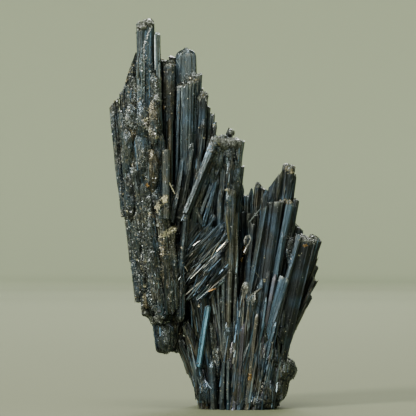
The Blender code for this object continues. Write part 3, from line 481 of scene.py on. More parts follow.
# Pale worn caps: middle (x, y, z), half width and half height
CAPS = [
    (-17.3, -1.4, 76.7, 1.0, 0.8), (-18.7, -1.7, 75.8, 1.0, 0.8), (-3.0, -1.4, 52.2, 2.0, 1.4),
    (-0.8, -0.8, 52.6, 1.6, 1.2), (0.7, -0.2, 52.4, 0.9, 1.1), (-0.9, 2.2, 54.9, 0.7, 0.8),
]
# Broken tops covered with angular grains: middle (x, y, z), half width, half height and number of grains
BROKEN_TOPS = [
    (-9.0, -0.6, 65.4, 1.9, 1.0, 120), (-6.3, -0.6, 62.2, 1.1, 0.9, 80), (-12.9, 0.8, 69.2, 1.5, 0.5, 60),
    (11.0, -1.4, 47.9, 1.0, 0.5, 60), (10.4, -2.4, 41.3, 1.4, 0.5, 60), (4.4, 4.0, 44.6, 1.2, 0.5, 50),
    (15.6, 0.2, 33.7, 1.4, 0.5, 80), (13.0, -0.8, 33.7, 1.2, 0.6, 80), (9.2, 0.4, 45.0, 1.6, 1.4, 50),
    (-23.4, -0.2, 60.4, 1.0, 0.8, 50), (-20.8, -0.8, 66.0, 1.2, 1.6, 60), (0.2, 0.4, 53.4, 1.2, 0.5, 60),
    (-16.6, 4.8, 68.0, 0.9, 0.6, 40), (-12.6, 5.4, 65.6, 1.1, 0.6, 50), (-7.4, 4.6, 63.2, 1.0, 0.6, 50),
    (-1.6, 4.8, 50.2, 1.3, 0.6, 60), (9.2, 3.6, 42.8, 1.1, 0.6, 50), (-19.6, 4.6, 61.6, 1.4, 0.8, 60),
]
# Rough filling between the blades of the fan: middle, half sizes and tone
FILLING = [
    ((0.0, -5.9, 8.6), (1.6, 1.1, 5.2), "v"), ((2.4, -6.1, 7.6), (1.7, 1.1, 5.4), "m"),
    ((4.7, -5.8, 8.2), (1.5, 1.1, 4.6), "g"), ((1.0, -5.6, 15.6), (1.4, 0.9, 3.8), "g"),
    ((3.4, -5.8, 16.6), (1.4, 0.9, 3.6), "v"), ((-1.6, -5.4, 14.4), (1.2, 0.9, 4.2), "m"),
    ((-3.6, -4.7, 9.0), (1.2, 0.9, 3.8), "n"), ((5.6, -5.2, 14.6), (1.2, 0.9, 3.6), "n"),
    ((2.2, -5.0, 22.4), (1.2, 0.9, 3.0), "g"), ((-2.6, -4.6, 20.0), (1.0, 0.8, 3.6), "n"),
    ((-5.0, -4.4, 14.0), (1.2, 0.9, 3.4), "n"), ((4.8, -5.0, 21.6), (1.0, 0.8, 3.4), "m"),
]
# Dark broken matrix at the foot of the sprays: middle and half sizes
MATRIX = [
    ((5.6, -6.2, 2.8), (2.4, 1.6, 2.8)), ((8.5, -4.0, 7.6), (2.2, 2.2, 2.4)),
    ((8.0, -3.0, 4.4), (2.2, 3.0, 3.4)),
    ((9.4, -1.0, 7.4), (2.6, 3.0, 2.7)),
    ((8.7, -2.4, 5.9), (2.3, 2.8, 2.7)), ((3.4, -6.9, 1.6), (2.0, 1.2, 2.0)),
    ((7.4, -5.4, 9.8), (1.6, 1.2, 2.2)), ((-5.6, -5.2, 3.0), (1.8, 1.6, 2.8)),
    ((-7.9, -4.2, 7.0), (1.1, 1.4, 2.4)),
    ((8.9, -4.6, 14.6), (1.1, 1.1, 1.9)), ((3.2, -6.3, 21.4), (1.0, 0.9, 1.1)),
    ((10.9, -3.2, 30.6), (1.2, 1.0, 3.0)),
    ((-13.6, -3.4, 14.0), (1.9, 2.0, 3.0)), ((-12.6, 2.4, 14.6), (2.0, 2.2, 2.6)),
    ((2.0, 8.4, 3.4), (4.6, 1.6, 3.6)),
    ((-4.8, 7.2, 3.0), (2.2, 1.9, 3.2)), ((6.4, 4.6, 3.4), (1.8, 2.4, 3.4)),
]

# Middle (x, z) and half width and height of the broken skin on the back
BACK_SKIN = [
    (-19.6, 50.0, 1.3, 5.0), (-17.2, 41.0, 1.5, 5.0), (-15.4, 30.0, 1.5, 4.6), (-18.4, 30.0, 1.2, 4.0),
    (-13.6, 47.0, 1.2, 5.0), (-10.6, 40.0, 1.3, 4.0), (-8.0, 30.0, 1.3, 4.0), (-4.6, 26.0, 1.2, 4.0),
    (-1.6, 20.0, 1.5, 4.6), (2.0, 14.0, 1.4, 4.0), (5.0, 18.0, 1.3, 4.6), (8.4, 12.0, 1.2, 3.6),
    (-6.2, 9.0, 1.3, 3.6), (10.4, 24.0, 1.1, 3.6), (3.6, 32.0, 1.1, 3.6), (-2.2, 40.0, 1.1, 3.6),
    (-13.0, 17.6, 1.5, 2.6), (-9.4, 54.0, 1.0, 4.0), (-16.0, 58.0, 1.0, 4.0), (-20.8, 36.0, 0.9, 4.0),
]
# Middle (x, y, z) and half width and height of the broken skin on the middle tower
MIDDLE_SKIN = [
    (-3.6, -2.3, 49.6, 1.1, 2.6), (-1.4, -1.3, 49.4, 1.3, 3.2), (0.5, -0.5, 48.6, 0.9, 3.4),
    (-0.2, -1.6, 44.6, 1.1, 3.0), (-1.2, -3.4, 41.4, 0.9, 2.2), (-4.6, -2.9, 45.6, 0.8, 2.4),
]

# Middle (x, z) and half width and height of the altered skin on the front of the left tower
SKIN = [
    (-20.4, 57.6, 1.5, 2.6), (-18.4, 57.0, 1.5, 4.4), (-16.2, 56.6, 1.2, 4.6), (-21.2, 51.0, 1.2, 4.8),
    (-18.6, 49.6, 1.8, 5.6), (-16.4, 46.6, 1.3, 4.8), (-20.6, 42.6, 1.4, 5.6), (-18.0, 41.6, 1.5, 4.6),
    (-15.6, 41.0, 1.1, 3.0), (-19.2, 34.6, 1.4, 5.4), (-17.0, 34.6, 1.4, 4.8), (-14.6, 36.0, 1.1, 2.8),
    (-18.0, 27.6, 1.4, 5.0), (-15.8, 27.0, 1.4, 4.6), (-13.6, 29.0, 1.2, 4.4), (-16.4, 22.4, 1.3, 3.0),
    (-14.2, 22.4, 1.2, 3.2), (-12.4, 24.4, 1.0, 3.2), (-14.6, 18.6, 1.4, 1.8),
]

# Linear base colours of the crystals, by the letters above
PALETTE = {
    "b": (0.036, 0.064, 0.086),
    "c": (0.075, 0.170, 0.225),
    "d": (0.013, 0.017, 0.018),
    "g": (0.058, 0.059, 0.046),
    "l": (0.105, 0.138, 0.146),
    "n": (0.032, 0.040, 0.039),
    "o": (0.046, 0.040, 0.023),
    "p": (0.300, 0.285, 0.190),
    "e": (0.024, 0.024, 0.018),
    "m": (0.044, 0.060, 0.068),
    "v": (0.060, 0.060, 0.072),
}
# Colours of worn ends and of the worn caps
WORN = (0.22, 0.23, 0.20)
CAP_TONE = (0.10, 0.105, 0.095)

# Name: metallic, least and most roughness, dust, tarnish, depths of fine relief and facets in metres
MINERALS = {
    "stibnite_blades": (0.75, 0.18, 0.44, 0.55, 0.4, 0.00004, 0.0),
    "stibnite_fresh": (0.75, 0.2, 0.44, 0.25, 0.35, 0.00004, 0.0),
    "stibnite_altered": (0.65, 0.12, 0.42, 0.75, 0.35, 0.00005, 0.00016),
    "stibnite_needles": (0.8, 0.26, 0.46, 0.3, 0.4, 0.00002, 0.0),
    "stibnite_dull": (0.6, 0.34, 0.56, 0.1, 0.4, 0.00004, 0.0),
}
STREAK_DARK = (0.5, 0.5, 0.5, 1)
STREAK_LIGHT = (1.55, 1.55, 1.5, 1)
TARNISH_BLUE = (0.040, 0.085, 0.130, 1)
DUST = (0.19, 0.180, 0.130, 1)
CRUST_MOTTLE = (0.3, 0.3, 0.27, 1)
CRUST_ROUGHNESS = 0.32
CRUST_METALLIC = 0.25

# How the grain is stretched for the streaks, and the scales of the noises per metre
STREAK_STRETCH = (7.0, 0.22, 1.0)
FINE_STRETCH = (22.0, 0.5, 1.0)
FACET_STRETCH = (2600.0, 2600.0, 1100.0)
PATCH_SCALE = 260.0
SPECK_SCALE = 1900.0
DUST_SCALE = 170.0
MOTTLE_SCALE = 1500.0

# Colours of the grains
CREAM = (0.50, 0.47, 0.30)
SAND = (0.27, 0.24, 0.15)
ASH = (0.19, 0.20, 0.17)
# Dark grains; also used as painted shade in pits
DARK_GRAIN_AND_PIT_SHADE = (0.02, 0.024, 0.023)
OCHRE = (0.30, 0.18, 0.05)
SILVER = (0.34, 0.37, 0.36)
# A painted highlight: near-white grains that stand for sparkles of light on the crystals
PAINTED_GLINT = (0.75, 0.78, 0.78)
# A painted warm glint: gold specks that stand for reflections of warm light
PAINTED_WARM_GLINT = (0.55, 0.36, 0.12)
MOTTLE = (
    (0.03, 0.035, 0.034), (0.06, 0.065, 0.06), (0.11, 0.115, 0.1), (0.05, 0.07, 0.085), DARK_GRAIN_AND_PIT_SHADE, DARK_GRAIN_AND_PIT_SHADE, SAND,
)
GRIT = (CREAM, SAND, ASH, ASH, DARK_GRAIN_AND_PIT_SHADE, DARK_GRAIN_AND_PIT_SHADE, DARK_GRAIN_AND_PIT_SHADE, DARK_GRAIN_AND_PIT_SHADE)

# Splinters: number, area (low x, high x, low z, high z), lengths, widths, tones, front only, how far they
# stray from the crystal's direction, and how far they may stand off the surface
SPLINTERS = [
    (2200, (-26, 18, 0, 78), (1.5, 8.0), (0.12, 0.38), "bnngldd", False, 0.05, 0.22),
    (900, (-26, 18, 0, 66), (1.2, 6.0), (0.10, 0.30), "bnngldg", True, 0.05, 0.22),
    (1500, (-10, 14, 0, 26), (3.0, 12.0), (0.2, 0.6), "bngggonlgd", True, 0.05, 0.5),
    (500, (0, 18, 12, 44), (3.0, 12.0), (0.16, 0.5), "bnndddgg", True, 0.05, 0.3),
    (1700, (-9, 12, 0, 24), (0.8, 3.4), (0.12, 0.34), "bmgnvvgd", True, 0.16, 0.4),
    (700, (-16, 12, 36, 70), (0.8, 3.0), (0.1, 0.26), "bngnmngd", True, 0.14, 0.25),
]
# Grains: number, area (low x, high x, low z, high z), sizes, colours, front only
GRAINS = [
    (3600, (-26, 18, 0, 78), (0.05, 0.13), GRIT, False),
    (2400, (-25, -11, 18, 64), (0.05, 0.16), GRIT, True),
    (1500, (-9, 13, 0, 10), (0.05, 0.15), GRIT, True),
    # Grains in the white glint colour are painted sparkles of light
    (450, (-25, -11, 16, 70), (0.05, 0.15), (PAINTED_GLINT, SILVER, SILVER), True),
    (500, (-14, 17, 0, 60), (0.04, 0.11), (PAINTED_GLINT, SILVER), True),
    (1500, (-26, 18, 8, 77), (0.04, 0.11), (SILVER, SILVER, ASH), False),
    # Large dark grains: painted shade, dark spots that stand for shaded pits and hollows
    (700, (-22, -11, 16, 40), (0.16, 0.4), (DARK_GRAIN_AND_PIT_SHADE, DARK_GRAIN_AND_PIT_SHADE, ASH), True),
    (260, (-22, -11, 16, 44), (0.07, 0.2), (CREAM, SILVER, PAINTED_GLINT), True),
    (2500, (-23, -14, 55, 70), (0.07, 0.2), MOTTLE, True),
    (1000, (-20, -15, 62, 75), (0.05, 0.13), MOTTLE[:4], True),
    (2000, (-23, -12, 17, 56), (0.07, 0.2), MOTTLE, True),
    (1100, (-5, 2, 38, 54), (0.06, 0.16), MOTTLE, True),
    (1500, (-26, 18, 0, 70), (0.07, 0.2), MOTTLE, False),
    (1000, (-12, 14, 20, 66), (0.05, 0.13), (SAND, ASH, DARK_GRAIN_AND_PIT_SHADE, DARK_GRAIN_AND_PIT_SHADE), True),
    (1000, (-9, 12, 0, 22), (0.06, 0.16), (SAND, ASH, DARK_GRAIN_AND_PIT_SHADE, DARK_GRAIN_AND_PIT_SHADE, DARK_GRAIN_AND_PIT_SHADE), True),
]
# The curled flake in the gap: points along its curl, then the shift, depth, width and tone of its two layers
CURL = [
    (1.7, 31.0), (2.1, 31.9), (2.75, 32.9), (3.05, 33.7), (2.75, 34.3), (2.15, 34.2), (1.8, 33.5),
    (1.85, 32.7),
]
CURL_LAYERS = [(0.0, -4.9, 0.3, (0.36, 0.36, 0.34)), (0.3, -4.6, 0.4, (0.11, 0.11, 0.10))]
# Needles that stand alone: start, finish, width and colour. The pale colours are painted highlights along
# needles and edges, the copper one a painted warm reflection; the dark ones are the needles' own tone.
LONE_NEEDLES_AND_PAINTED_HIGHLIGHTS = [
    ((-15.95, -2.2, 74.2), (-15.9, -2.3, 67.4), 0.22, (0.6, 0.68, 0.72)),
    ((-15.2, -2.3, 68.4), (-15.0, -2.4, 65.6), 0.2, (0.55, 0.6, 0.62)),
    ((-11.0, -1.8, 67.8), (-11.6, -1.7, 69.2), 0.2, (0.4, 0.46, 0.48)),
    ((-8.3, -6.4, 32.4), (-7.1, -6.6, 33.3), 0.22, (0.5, 0.5, 0.42)),
    ((-6.4, -6.3, 27.9), (-5.1, -6.5, 29.1), 0.24, (0.55, 0.55, 0.5)),
    ((-3.7, -6.3, 31.2), (-2.0, -6.6, 33.0), 0.2, (0.6, 0.55, 0.4)),
    ((-10.0, -6.4, 28.3), (-9.4, -6.6, 27.3), 0.2, (0.5, 0.46, 0.36)),
    ((-13.4, -5.6, 45.4), (-12.0, -6.0, 42.7), 0.34, (0.75, 0.68, 0.5)),
    ((-5.3, -6.3, 23.3), (-3.9, -6.5, 23.9), 0.24, (0.5, 0.26, 0.08)),
    ((-13.5, -7.6, 22.0), (-11.2, -7.0, 27.0), 0.28, (0.1, 0.12, 0.12)),
    ((-13.0, -7.4, 22.0), (-10.9, -6.9, 26.2), 0.22, (0.16, 0.18, 0.16)),
    ((2.8, -4.4, 37.0), (5.3, -4.2, 40.0), 0.3, (0.05, 0.06, 0.055)),
    ((2.4, -4.2, 37.2), (4.6, -4.0, 40.2), 0.24, (0.03, 0.036, 0.034)),
    ((0.8, -3.0, 40.9), (2.0, -2.8, 39.3), 0.24, (0.06, 0.07, 0.06)),
    ((3.0, -5.6, 28.3), (4.8, -5.4, 26.1), 0.14, (0.4, 0.38, 0.3)),
    ((-9.8, -6.6, 40.2), (-8.5, -6.4, 41.5), 0.3, (0.4, 0.44, 0.46)),
    ((-1.3, -6.1, 33.5), (-1.8, -5.6, 38.2), 0.42, (0.16, 0.15, 0.085)),
]
# Broken ridges: a line of (x, z) points, its half width, colour and number of grains. The white row is a
# painted highlight along an edge.
RIDGES = [
    (((-18.2, 71.0), (-18.0, 66.0), (-19.5, 62.5), (-21.0, 60.0), (-21.2, 57.0), (-19.6, 55.6)), 0.45,
     SILVER, 260),
    (((-16.8, 68.5), (-15.9, 64.5), (-14.9, 62.0)), 0.35, SILVER, 120),
    (((-19.4, 75.4), (-18.2, 76.4), (-17.0, 77.1)), 0.4, ASH, 150),
    (((-14.2, 68.4), (-13.0, 68.8), (-12.2, 68.4)), 0.25, ASH, 70),
    # A painted highlight: a row of white grains along an edge that catches the light
    (((-16.6, 76.2), (-17.4, 74.4), (-18.1, 72.2), (-18.2, 69.0)), 0.08, PAINTED_GLINT, 110),
    (((-18.6, 57.8), (-16.9, 55.3), (-15.4, 53.4)), 0.35, (0.44, 0.42, 0.38), 100),
    (((-20.4, 47.2), (-18.0, 49.6)), 0.25, SILVER, 60),
    (((-17.4, 42.0), (-16.9, 38.0), (-17.6, 34.0)), 0.35, SILVER, 90),
    (((-20.6, 32.0), (-20.0, 28.0), (-18.6, 25.0)), 0.35, SILVER, 90),
    (((-16.6, 33.0), (-17.6, 28.0), (-17.0, 23.0), (-15.8, 19.0)), 0.45, SILVER, 150),
    (((-14.4, 33.0), (-14.8, 28.0), (-13.6, 24.0)), 0.35, SAND, 110),
    (((-13.5, 42.1), (-14.3, 41.0), (-15.9, 39.3)), 0.3, CREAM, 300),
    (((-11.9, 36.1), (-13.3, 34.9), (-14.7, 34.1)), 0.3, CREAM, 260),
    (((-14.4, 33.7), (-14.2, 30.6)), 0.25, SAND, 90),
    (((-7.7, 66.9), (-9.2, 66.0), (-10.4, 64.4), (-11.6, 63.6)), 0.4, SILVER, 260),
    (((-5.0, 61.4), (-6.2, 62.6), (-7.4, 61.4)), 0.35, ASH, 160),
    (((-4.9, 53.0), (-2.6, 53.2), (0.9, 52.8)), 0.5, ASH, 300),
    (((-5.0, 52.0), (-3.4, 50.4), (-1.0, 51.8), (1.0, 51.2)), 0.6, ASH, 220),
    (((10.2, 47.8), (11.6, 46.8)), 0.3, SAND, 90),
    (((13.0, 33.6), (14.6, 33.0), (16.6, 33.8)), 0.35, ASH, 170),
    (((9.6, 34.6), (11.0, 33.0), (10.2, 29.6)), 0.5, (0.08, 0.085, 0.075), 80),
    (((-23.4, 60.8), (-24.6, 58.0), (-24.4, 53.0)), 0.25, SILVER, 70),
    (((-23.2, 50.4), (-22.6, 44.0), (-21.4, 36.0)), 0.25, ASH, 80),
]
# Pale crusts and specks where the photo shows them: middle (x, z), half width and height, colour, number. The
# white and gold specks are painted glints of light.
CRUSTS = [
    ((-16.0, 38.2), 0.4, 0.4, SAND, 50),
    ((-15.5, 61.5), 0.5, 0.6, PAINTED_GLINT, 70),
    ((1.9, 31.2), 0.4, 0.7, PAINTED_WARM_GLINT, 30),
    ((1.3, 29.4), 0.4, 0.5, PAINTED_WARM_GLINT, 24),
    ((0.5, 28.1), 0.4, 0.2, PAINTED_GLINT, 16),
    ((-16.9, 55.3), 0.5, 0.5, PAINTED_GLINT, 24),
    ((-17.8, 57.2), 0.3, 0.4, CREAM, 26),
    ((-16.8, 55.0), 0.3, 0.5, CREAM, 30),
    ((-15.6, 53.8), 0.3, 0.3, CREAM, 20),
    ((-21.5, 57.5), 0.5, 0.5, ASH, 50),
    ((-20.3, 60.5), 0.4, 0.4, ASH, 40),
    ((-17.0, 38.5), 0.3, 0.4, CREAM, 30),
    ((-17.8, 29.2), 0.3, 0.3, CREAM, 20),
    ((-17.8, 24.4), 0.3, 0.3, CREAM, 20),
    ((-6.2, 53.7), 0.2, 0.25, CREAM, 14),
    ((-4.2, 56.4), 0.2, 0.2, CREAM, 10),
    ((-3.3, 52.5), 0.3, 0.3, CREAM, 20),
    ((-1.7, 43.3), 0.3, 0.3, CREAM, 20),
    ((5.8, 25.4), 0.2, 0.3, CREAM, 14),
    ((3.4, 21.7), 0.8, 0.6, ASH, 90),
    ((11.5, 6.0), 0.3, 0.3, ASH, 20),
    ((1.0, 1.8), 0.3, 0.3, ASH, 20),
    ((-17.4, 44.3), 0.3, 0.4, OCHRE, 22),
    ((14.0, 32.3), 0.35, 0.35, OCHRE, 26),
    ((-14.2, 60.0), 0.25, 0.3, OCHRE, 16),
    ((2.7, 6.5), 0.5, 0.8, OCHRE, 40),
    ((-15.3, 18.0), 1.2, 0.8, ASH, 150),
    ((-11.5, 42.0), 0.3, 0.4, ASH, 22),
    ((-18.0, 76.9), 1.4, 0.5, ASH, 150),
    ((-10.6, 64.4), 1.0, 0.5, ASH, 110),
    ((-8.6, 65.4), 1.3, 0.9, ASH, 160),
    ((-5.9, 63.0), 0.7, 0.5, ASH, 60),
    ((-2.0, 53.2), 2.6, 0.8, ASH, 170),
    ((11.0, 47.9), 0.9, 0.5, ASH, 90),
    ((10.6, 41.0), 0.9, 0.5, SAND, 70),
    ((15.4, 33.9), 1.8, 0.5, ASH, 120),
]

# Distance from the middle in metres, and how pale the stage is there, which evens out the fall of the light
STAGE_SHADES = [
    (0.0, 0.12), (0.45, 0.15), (0.60, 0.18), (0.72, 0.27), (0.78, 0.38), (0.84, 0.47), (1.10, 0.54),
    (1.65, 0.58),
]
# Red and blue of the stage as shares of its green: the blue share grows from the middle to the wall
STAGE_RED = 0.91
STAGE_BLUE_MIDDLE = 0.58
STAGE_BLUE_WALL = 0.71
STAGE_WALL_REACH = 0.84
# The stage's flat floor, the curve up to its wall and the wall's top in metres, and how finely it is divided
FLOOR_REACH = 0.75
CURVE = 0.9
WALL_TOP = 2.6
CURVE_STEPS = 24
STAGE_ROUND = 96

# Lights: name, place, size, power, and the point each one faces
MIDDLE = (-0.005, 0, 0.038)
LIGHTS = [
    ("key", (-0.55, -0.42, 0.50), 0.16, 10.8, MIDDLE),
    ("front", (-0.25, -0.75, 0.30), 0.45, 3.4, MIDDLE),
    ("side", (0.55, -0.25, 0.35), 0.14, 0.5, MIDDLE),
    ("top", (-0.05, -0.15, 0.75), 0.25, 3.0, MIDDLE),
    ("rear", (0.04, 0.62, 0.48), 0.36, 8.5, (0.0, 0.0, 0.25)),
    ("rear_left", (-0.5, 0.35, 0.3), 0.3, 1.2, MIDDLE),
    ("ceiling", (0.0, 0.2, 1.9), 1.6, 14.0, (0.0, 0.25, 0.0)),
]

# The camera in metres, and the width it sees at the cluster
CAMERA_DISTANCE = 0.5
CAMERA_X = -0.0054
CAMERA_Z = 0.0398
VIEW_WIDTH = 0.0832

WORLD_COLOUR = (0.9, 1.0, 0.9, 1)
WORLD_STRENGTH = 0.3


def lattice(ix, iy, iz, seed):
    """A repeatable random value from 0 to 1 for each whole-numbered point."""
    h = (ix * 374761393 + iy * 668265263 + iz * 2147483647 + seed * 1274126177) & 0xFFFFFFFF
    h = ((h ^ (h >> 13)) * 1274126177) & 0xFFFFFFFF
    return ((h ^ (h >> 16)) & 0xFFFF) / 65535.0


def noise(points, seed):
    """Smooth value noise from 0 to 1 at an array of points."""
    cell = np.floor(points).astype(np.int64)
    part = points - cell
    part = part * part * (3 - 2 * part)
    total = np.zeros(len(points))
    for dx in (0, 1):
        for dy in (0, 1):
            for dz in (0, 1):
                weight = np.ones(len(points))
                for axis, step in enumerate((dx, dy, dz)):
                    weight *= part[:, axis] if step else 1 - part[:, axis]
                total += weight * lattice(cell[:, 0] + dx, cell[:, 1] + dy, cell[:, 2] + dz, seed)
    return total


def layered(points, layers):
    """Several layers of noise at an array of points, added up about zero."""
    return sum((noise(points / size, seed) - 0.5) * strength for size, seed, strength in layers)


def draws(rng, low, high, count):
    """An array of random numbers."""
    return np.array([rng.uniform(low, high) for _ in range(count)])


class Soup:
    """Points, faces and colours of many small pieces, gathered into one mesh."""

    def __init__(self):
        self.points = []
        self.faces = []
        self.tones = []
        self.grains = []
        self.count = 0

    def add(self, points, faces, tones, grains):
        """Faces are an array of four corners each; a triangle repeats its last corner."""
        self.points.append(points)
        self.faces.append(np.asarray(faces) + self.count)
        self.tones.append(np.broadcast_to(tones, (len(points), 3)))
        self.grains.append(grains)
        self.count += len(points)

    def build(self, name, material):
        """Makes the object, with each point's tone and grain as attributes, and nothing below the floor."""
        points = np.concatenate(self.points)
        points[:, 2] = np.maximum(points[:, 2], 0.0)
        faces = np.concatenate(self.faces)
        triangles = faces[:, 2] == faces[:, 3]
        lists = [list(f[:3]) if three else list(f) for f, three in zip(faces.tolist(), triangles)]
        data = bpy.data.meshes.new(name)
        data.from_pydata((points * MM).tolist(), [], lists)
        colour = data.color_attributes.new("tone", "FLOAT_COLOR", "POINT")
        rgba = np.ones((len(points), 4), dtype=np.float32)
        rgba[:, :3] = np.concatenate(self.tones)
        colour.data.foreach_set("color", rgba.ravel())
        grain = data.attributes.new("grain", "FLOAT_VECTOR", "POINT")
        grain.data.foreach_set("vector", np.concatenate(self.grains).astype(np.float32).ravel())
        data.polygons.foreach_set("use_smooth", np.full(len(lists), False))
        data.materials.append(material)
        obj = bpy.data.objects.new(name, data)
        bpy.context.scene.collection.objects.link(obj)
        return obj


def spread(point):
    """A table's point with its depth drawn out, as in the solid."""
    return np.array((point[0], point[1] * DEPTH_SPREAD, point[2]))


def axes_of(root, tip, turn):
    """The directions along a crystal, across its width and through its depth."""
    along = (tip - root) / np.linalg.norm(tip - root)
    side = np.array((along[2], 0.0, -along[0]))
    side = side / np.linalg.norm(side)
    back = -np.cross(along, side)
    angle = math.radians(turn)
    across = side * math.cos(angle) + back * math.sin(angle)
    return along, across, -np.cross(along, across)


def outline(width, depth, count):
    """Evenly spaced points round a section, the way out at each, their distance round, and the girth."""
    if width >= WIDE_BLADE:
        corners = EIGHT_SIDED
    elif width >= SMALL_BLADE:
        corners = SIX_SIDED
    else:
        corners = FOUR_SIDED
    corners = np.array(corners) * (width, depth)
    closed = np.vstack([corners, corners[:1]])
    steps = np.linalg.norm(np.diff(closed, axis=0), axis=1)
    reach = np.concatenate([[0], np.cumsum(steps)])
    where = np.linspace(0, reach[-1], count, endpoint=False)
    points = np.stack([np.interp(where, reach, closed[:, 0]), np.interp(where, reach, closed[:, 1])], axis=1)
    tangent = np.roll(points, -1, axis=0) - np.roll(points, 1, axis=0)
    out = np.stack([tangent[:, 1], -tangent[:, 0]], axis=1)
    out /= np.maximum(np.linalg.norm(out, axis=1), TINY)[:, None]
    if (out * points).sum() < 0:
        out = -out
    return points, out, where, reach[-1]


def blade_bands(where, girth, rng):
    """Splits a girth into narrow blades: the number of the blade at each point, and how many there are."""
    edges = []
    reach = 0.0
    while reach < girth:
        reach += rng.uniform(*BLADE_WIDTHS)
        edges.append(reach)
    return np.searchsorted(edges, where), len(edges) + 1


def relief_of(band, bands, along_shares, relief, rng):
    """How far each point of each ring stands out: a blade has its own height,
    and steps down where it ends."""
    height = draws(rng, -relief, relief, bands)
    level = np.repeat(height[:, None], len(along_shares), axis=1)
    for k in range(bands):
        for _ in range(rng.choice((0, 0, 1, 1, 2))):
            start = rng.uniform(0.1, 1.0)
            level[k, along_shares > start] -= rng.uniform(0.5, 1.6) * relief
    fine = draws(rng, -1, 1, len(band)) * FINE_RELIEF
    return level[band] + fine[:, None]


def stepped_ends(band, bands, thickness, rng):
    """How far each point falls short at the tip and at the root, with one step for each blade."""
    tops = draws(rng, 0, 1, bands) ** 2
    tops = (tops + np.roll(tops, 1) + 0.6 * np.roll(tops, 2)) / 2.6
    lows = draws(rng, 0, 1, bands) ** 2
    drop = min(MOST_DROP, LEAST_DROP + DROP_SHARE * thickness)
    return tops[band] * drop, lows[band] * drop


def end_sizes(end, amount, length, along_shares):
    """Each ring's size beside the crystal's own: smaller toward a point or a dome."""
    over = np.clip((along_shares * length - (length - amount)) / max(amount, TINY), 0, 1)
    if end == "point":
        return 1 - 0.5 * over
    if end == "dome":
        return np.sqrt(np.maximum(0.05, 1 - 0.95 * over ** 3.2))
    return np.ones(len(along_shares))


def tube_faces(total, count):
    """Faces of a tube of rings, closed by a fan at the tip and one at the root, whose middles come last."""
    k = np.arange(count)
    following = (k + 1) % count
    i = np.arange(total - 1)[:, None] * count
    sides = np.stack([i + k, i + following, i + count + following, i + count + k], axis=-1).reshape(-1, 4)
    last = (total - 1) * count
    apex = np.full(count, total * count)
    base = apex + 1
    top = np.stack([last + k, last + following, apex, apex], axis=1)
    low = np.stack([following, k, base, base], axis=1)
    return np.concatenate([sides, top, low])


def pitted(verts, root, along, rough):
    """The points of a crystal pushed in and out by noise that is drawn out upward, with pits."""
    out = verts - (root + along * ((verts - root) @ along)[:, None])
    out /= np.maximum(np.linalg.norm(out, axis=1), TINY)[:, None]
    drawn = verts * ROUGH_DRAWN
    push = layered(drawn, ROUGH_LAYERS)
    pit = np.clip(noise(drawn / 0.9, 9) - 0.62, 0, 1) * 2.0
    return verts + out * ((push - pit) * rough * PITTING)[:, None]


def blade_tones(tone, band, bands, rings, calm, rng):
    """A colour for each point: every blade is a little lighter or darker,
    warmer or cooler than the crystal."""
    base = np.array(PALETTE[tone])
    light = 1 + draws(rng, -0.24, 0.25, bands) * calm
    warmth = draws(rng, -1, 1, bands)
    each = base * light[band][:, None] * (1 + warmth[band][:, None] * (0.08, 0.0, -0.1))
    return np.vstack([np.tile(each, (rings, 1)), base, base])


def with_worn_end(tones, verts, lifts, length, end, width):
    """The colours with the broken end dulled and paler in patches."""
    near_end = np.clip((lifts - (length - WORN_REACH)) / WORN_FADE, 0, 1)
    patches = np.clip(noise(verts / 0.35, 31) * 2.6 - 0.9, 0, 1)
    strength = 0.4 if width < 1.7 else 0.85
    if end == "point":
        strength = 0.15
    worn = (near_end * patches * strength * 0.75)[:, None]
    return tones * (1 - worn) + np.array(WORN) * worn


def crystal(soup, row, tone, rough, rng, spacing, fineness, calm=1.0):
    """One crystal as a bundle of parallel blades with stepped ends, drawn as one fine tube."""
    root, tip, width, depth, turn, end, amount = row
    root = spread(root)
    tip = spread(tip)
    along, across, through = axes_of(root, tip, turn)
    length = np.linalg.norm(tip - root)
    count = int(min(MOST_ROUND, max(LEAST_ROUND, GIRTH_SHARE * (width + depth) / fineness)))
    points, out, where, girth = outline(width, depth, count)
    band, bands = blade_bands(where, girth, rng)
    shares = np.linspace(0, 1, int(max(LEAST_RINGS, length / spacing)))
    if end == "dome":
        shares = 1 - (1 - shares) ** 2
    thickness = min(width, depth)
    offset = relief_of(band, bands, shares, min(MOST_RELIEF, RELIEF_SHARE * thickness) * calm, rng)
    tops, lows = stepped_ends(band, bands, thickness, rng)
    slope = np.zeros(count)
    if end == "chisel":
        slope = amount * (1.0 if across[0] >= 0 else -1.0) * points[:, 0] / width
    bow = rng.uniform(-1, 1) * BOW * length
    bow_back = rng.uniform(-1, 1) * BOW_BACK * length

    def ring(flat, lift, bend=0.0):
        return (root + across * (flat[:, :1] + bow * bend) + through * (flat[:, 1:] + bow_back * bend)
                + along * lift[:, None])

    rings = [ring(points * ROOT_SCALE * scale, lows * scale) for scale in ROOT_RINGS]
    sizes = (ROOT_SCALE + (1 - ROOT_SCALE) * shares) * end_sizes(end, amount, length, shares)
    for s, share in enumerate(shares):
        lift = share * (length - slope - tops) + (1 - share) * lows
        rings.append(ring(points * sizes[s] + out * offset[:, s][:, None], lift, math.sin(math.pi * share)))
    # the cap is worn round at the rim and uneven within
    for scale, rise in CAP_RINGS:
        spots = np.hstack([points * scale, np.full((count, 1), bow * 40)]) / 0.45
        uneven = (noise(spots, 13) - 0.5) * 0.5
        lift = length - slope * scale - tops * (0.55 + 0.45 * scale) + rise + uneven
        rings.append(ring(points * sizes[-1] * scale, lift))
    verts = np.vstack(rings + [rings[-1].mean(axis=0), rings[0].mean(axis=0)])
    if rough:
        verts = pitted(verts, root, along, rough)
    tones = blade_tones(tone, band, bands, len(rings), calm, rng)
    number = rng.uniform(0, 50)
    lifts = (verts - root) @ along
    tones = with_worn_end(tones, verts, lifts, length, end, width)
    round_it = np.append(np.tile(where, len(rings)), (0, 0))
    grains = np.stack([round_it, lifts, np.full(len(verts), number)], axis=1)
    soup.add(verts, tube_faces(len(rings), count), tones, grains)


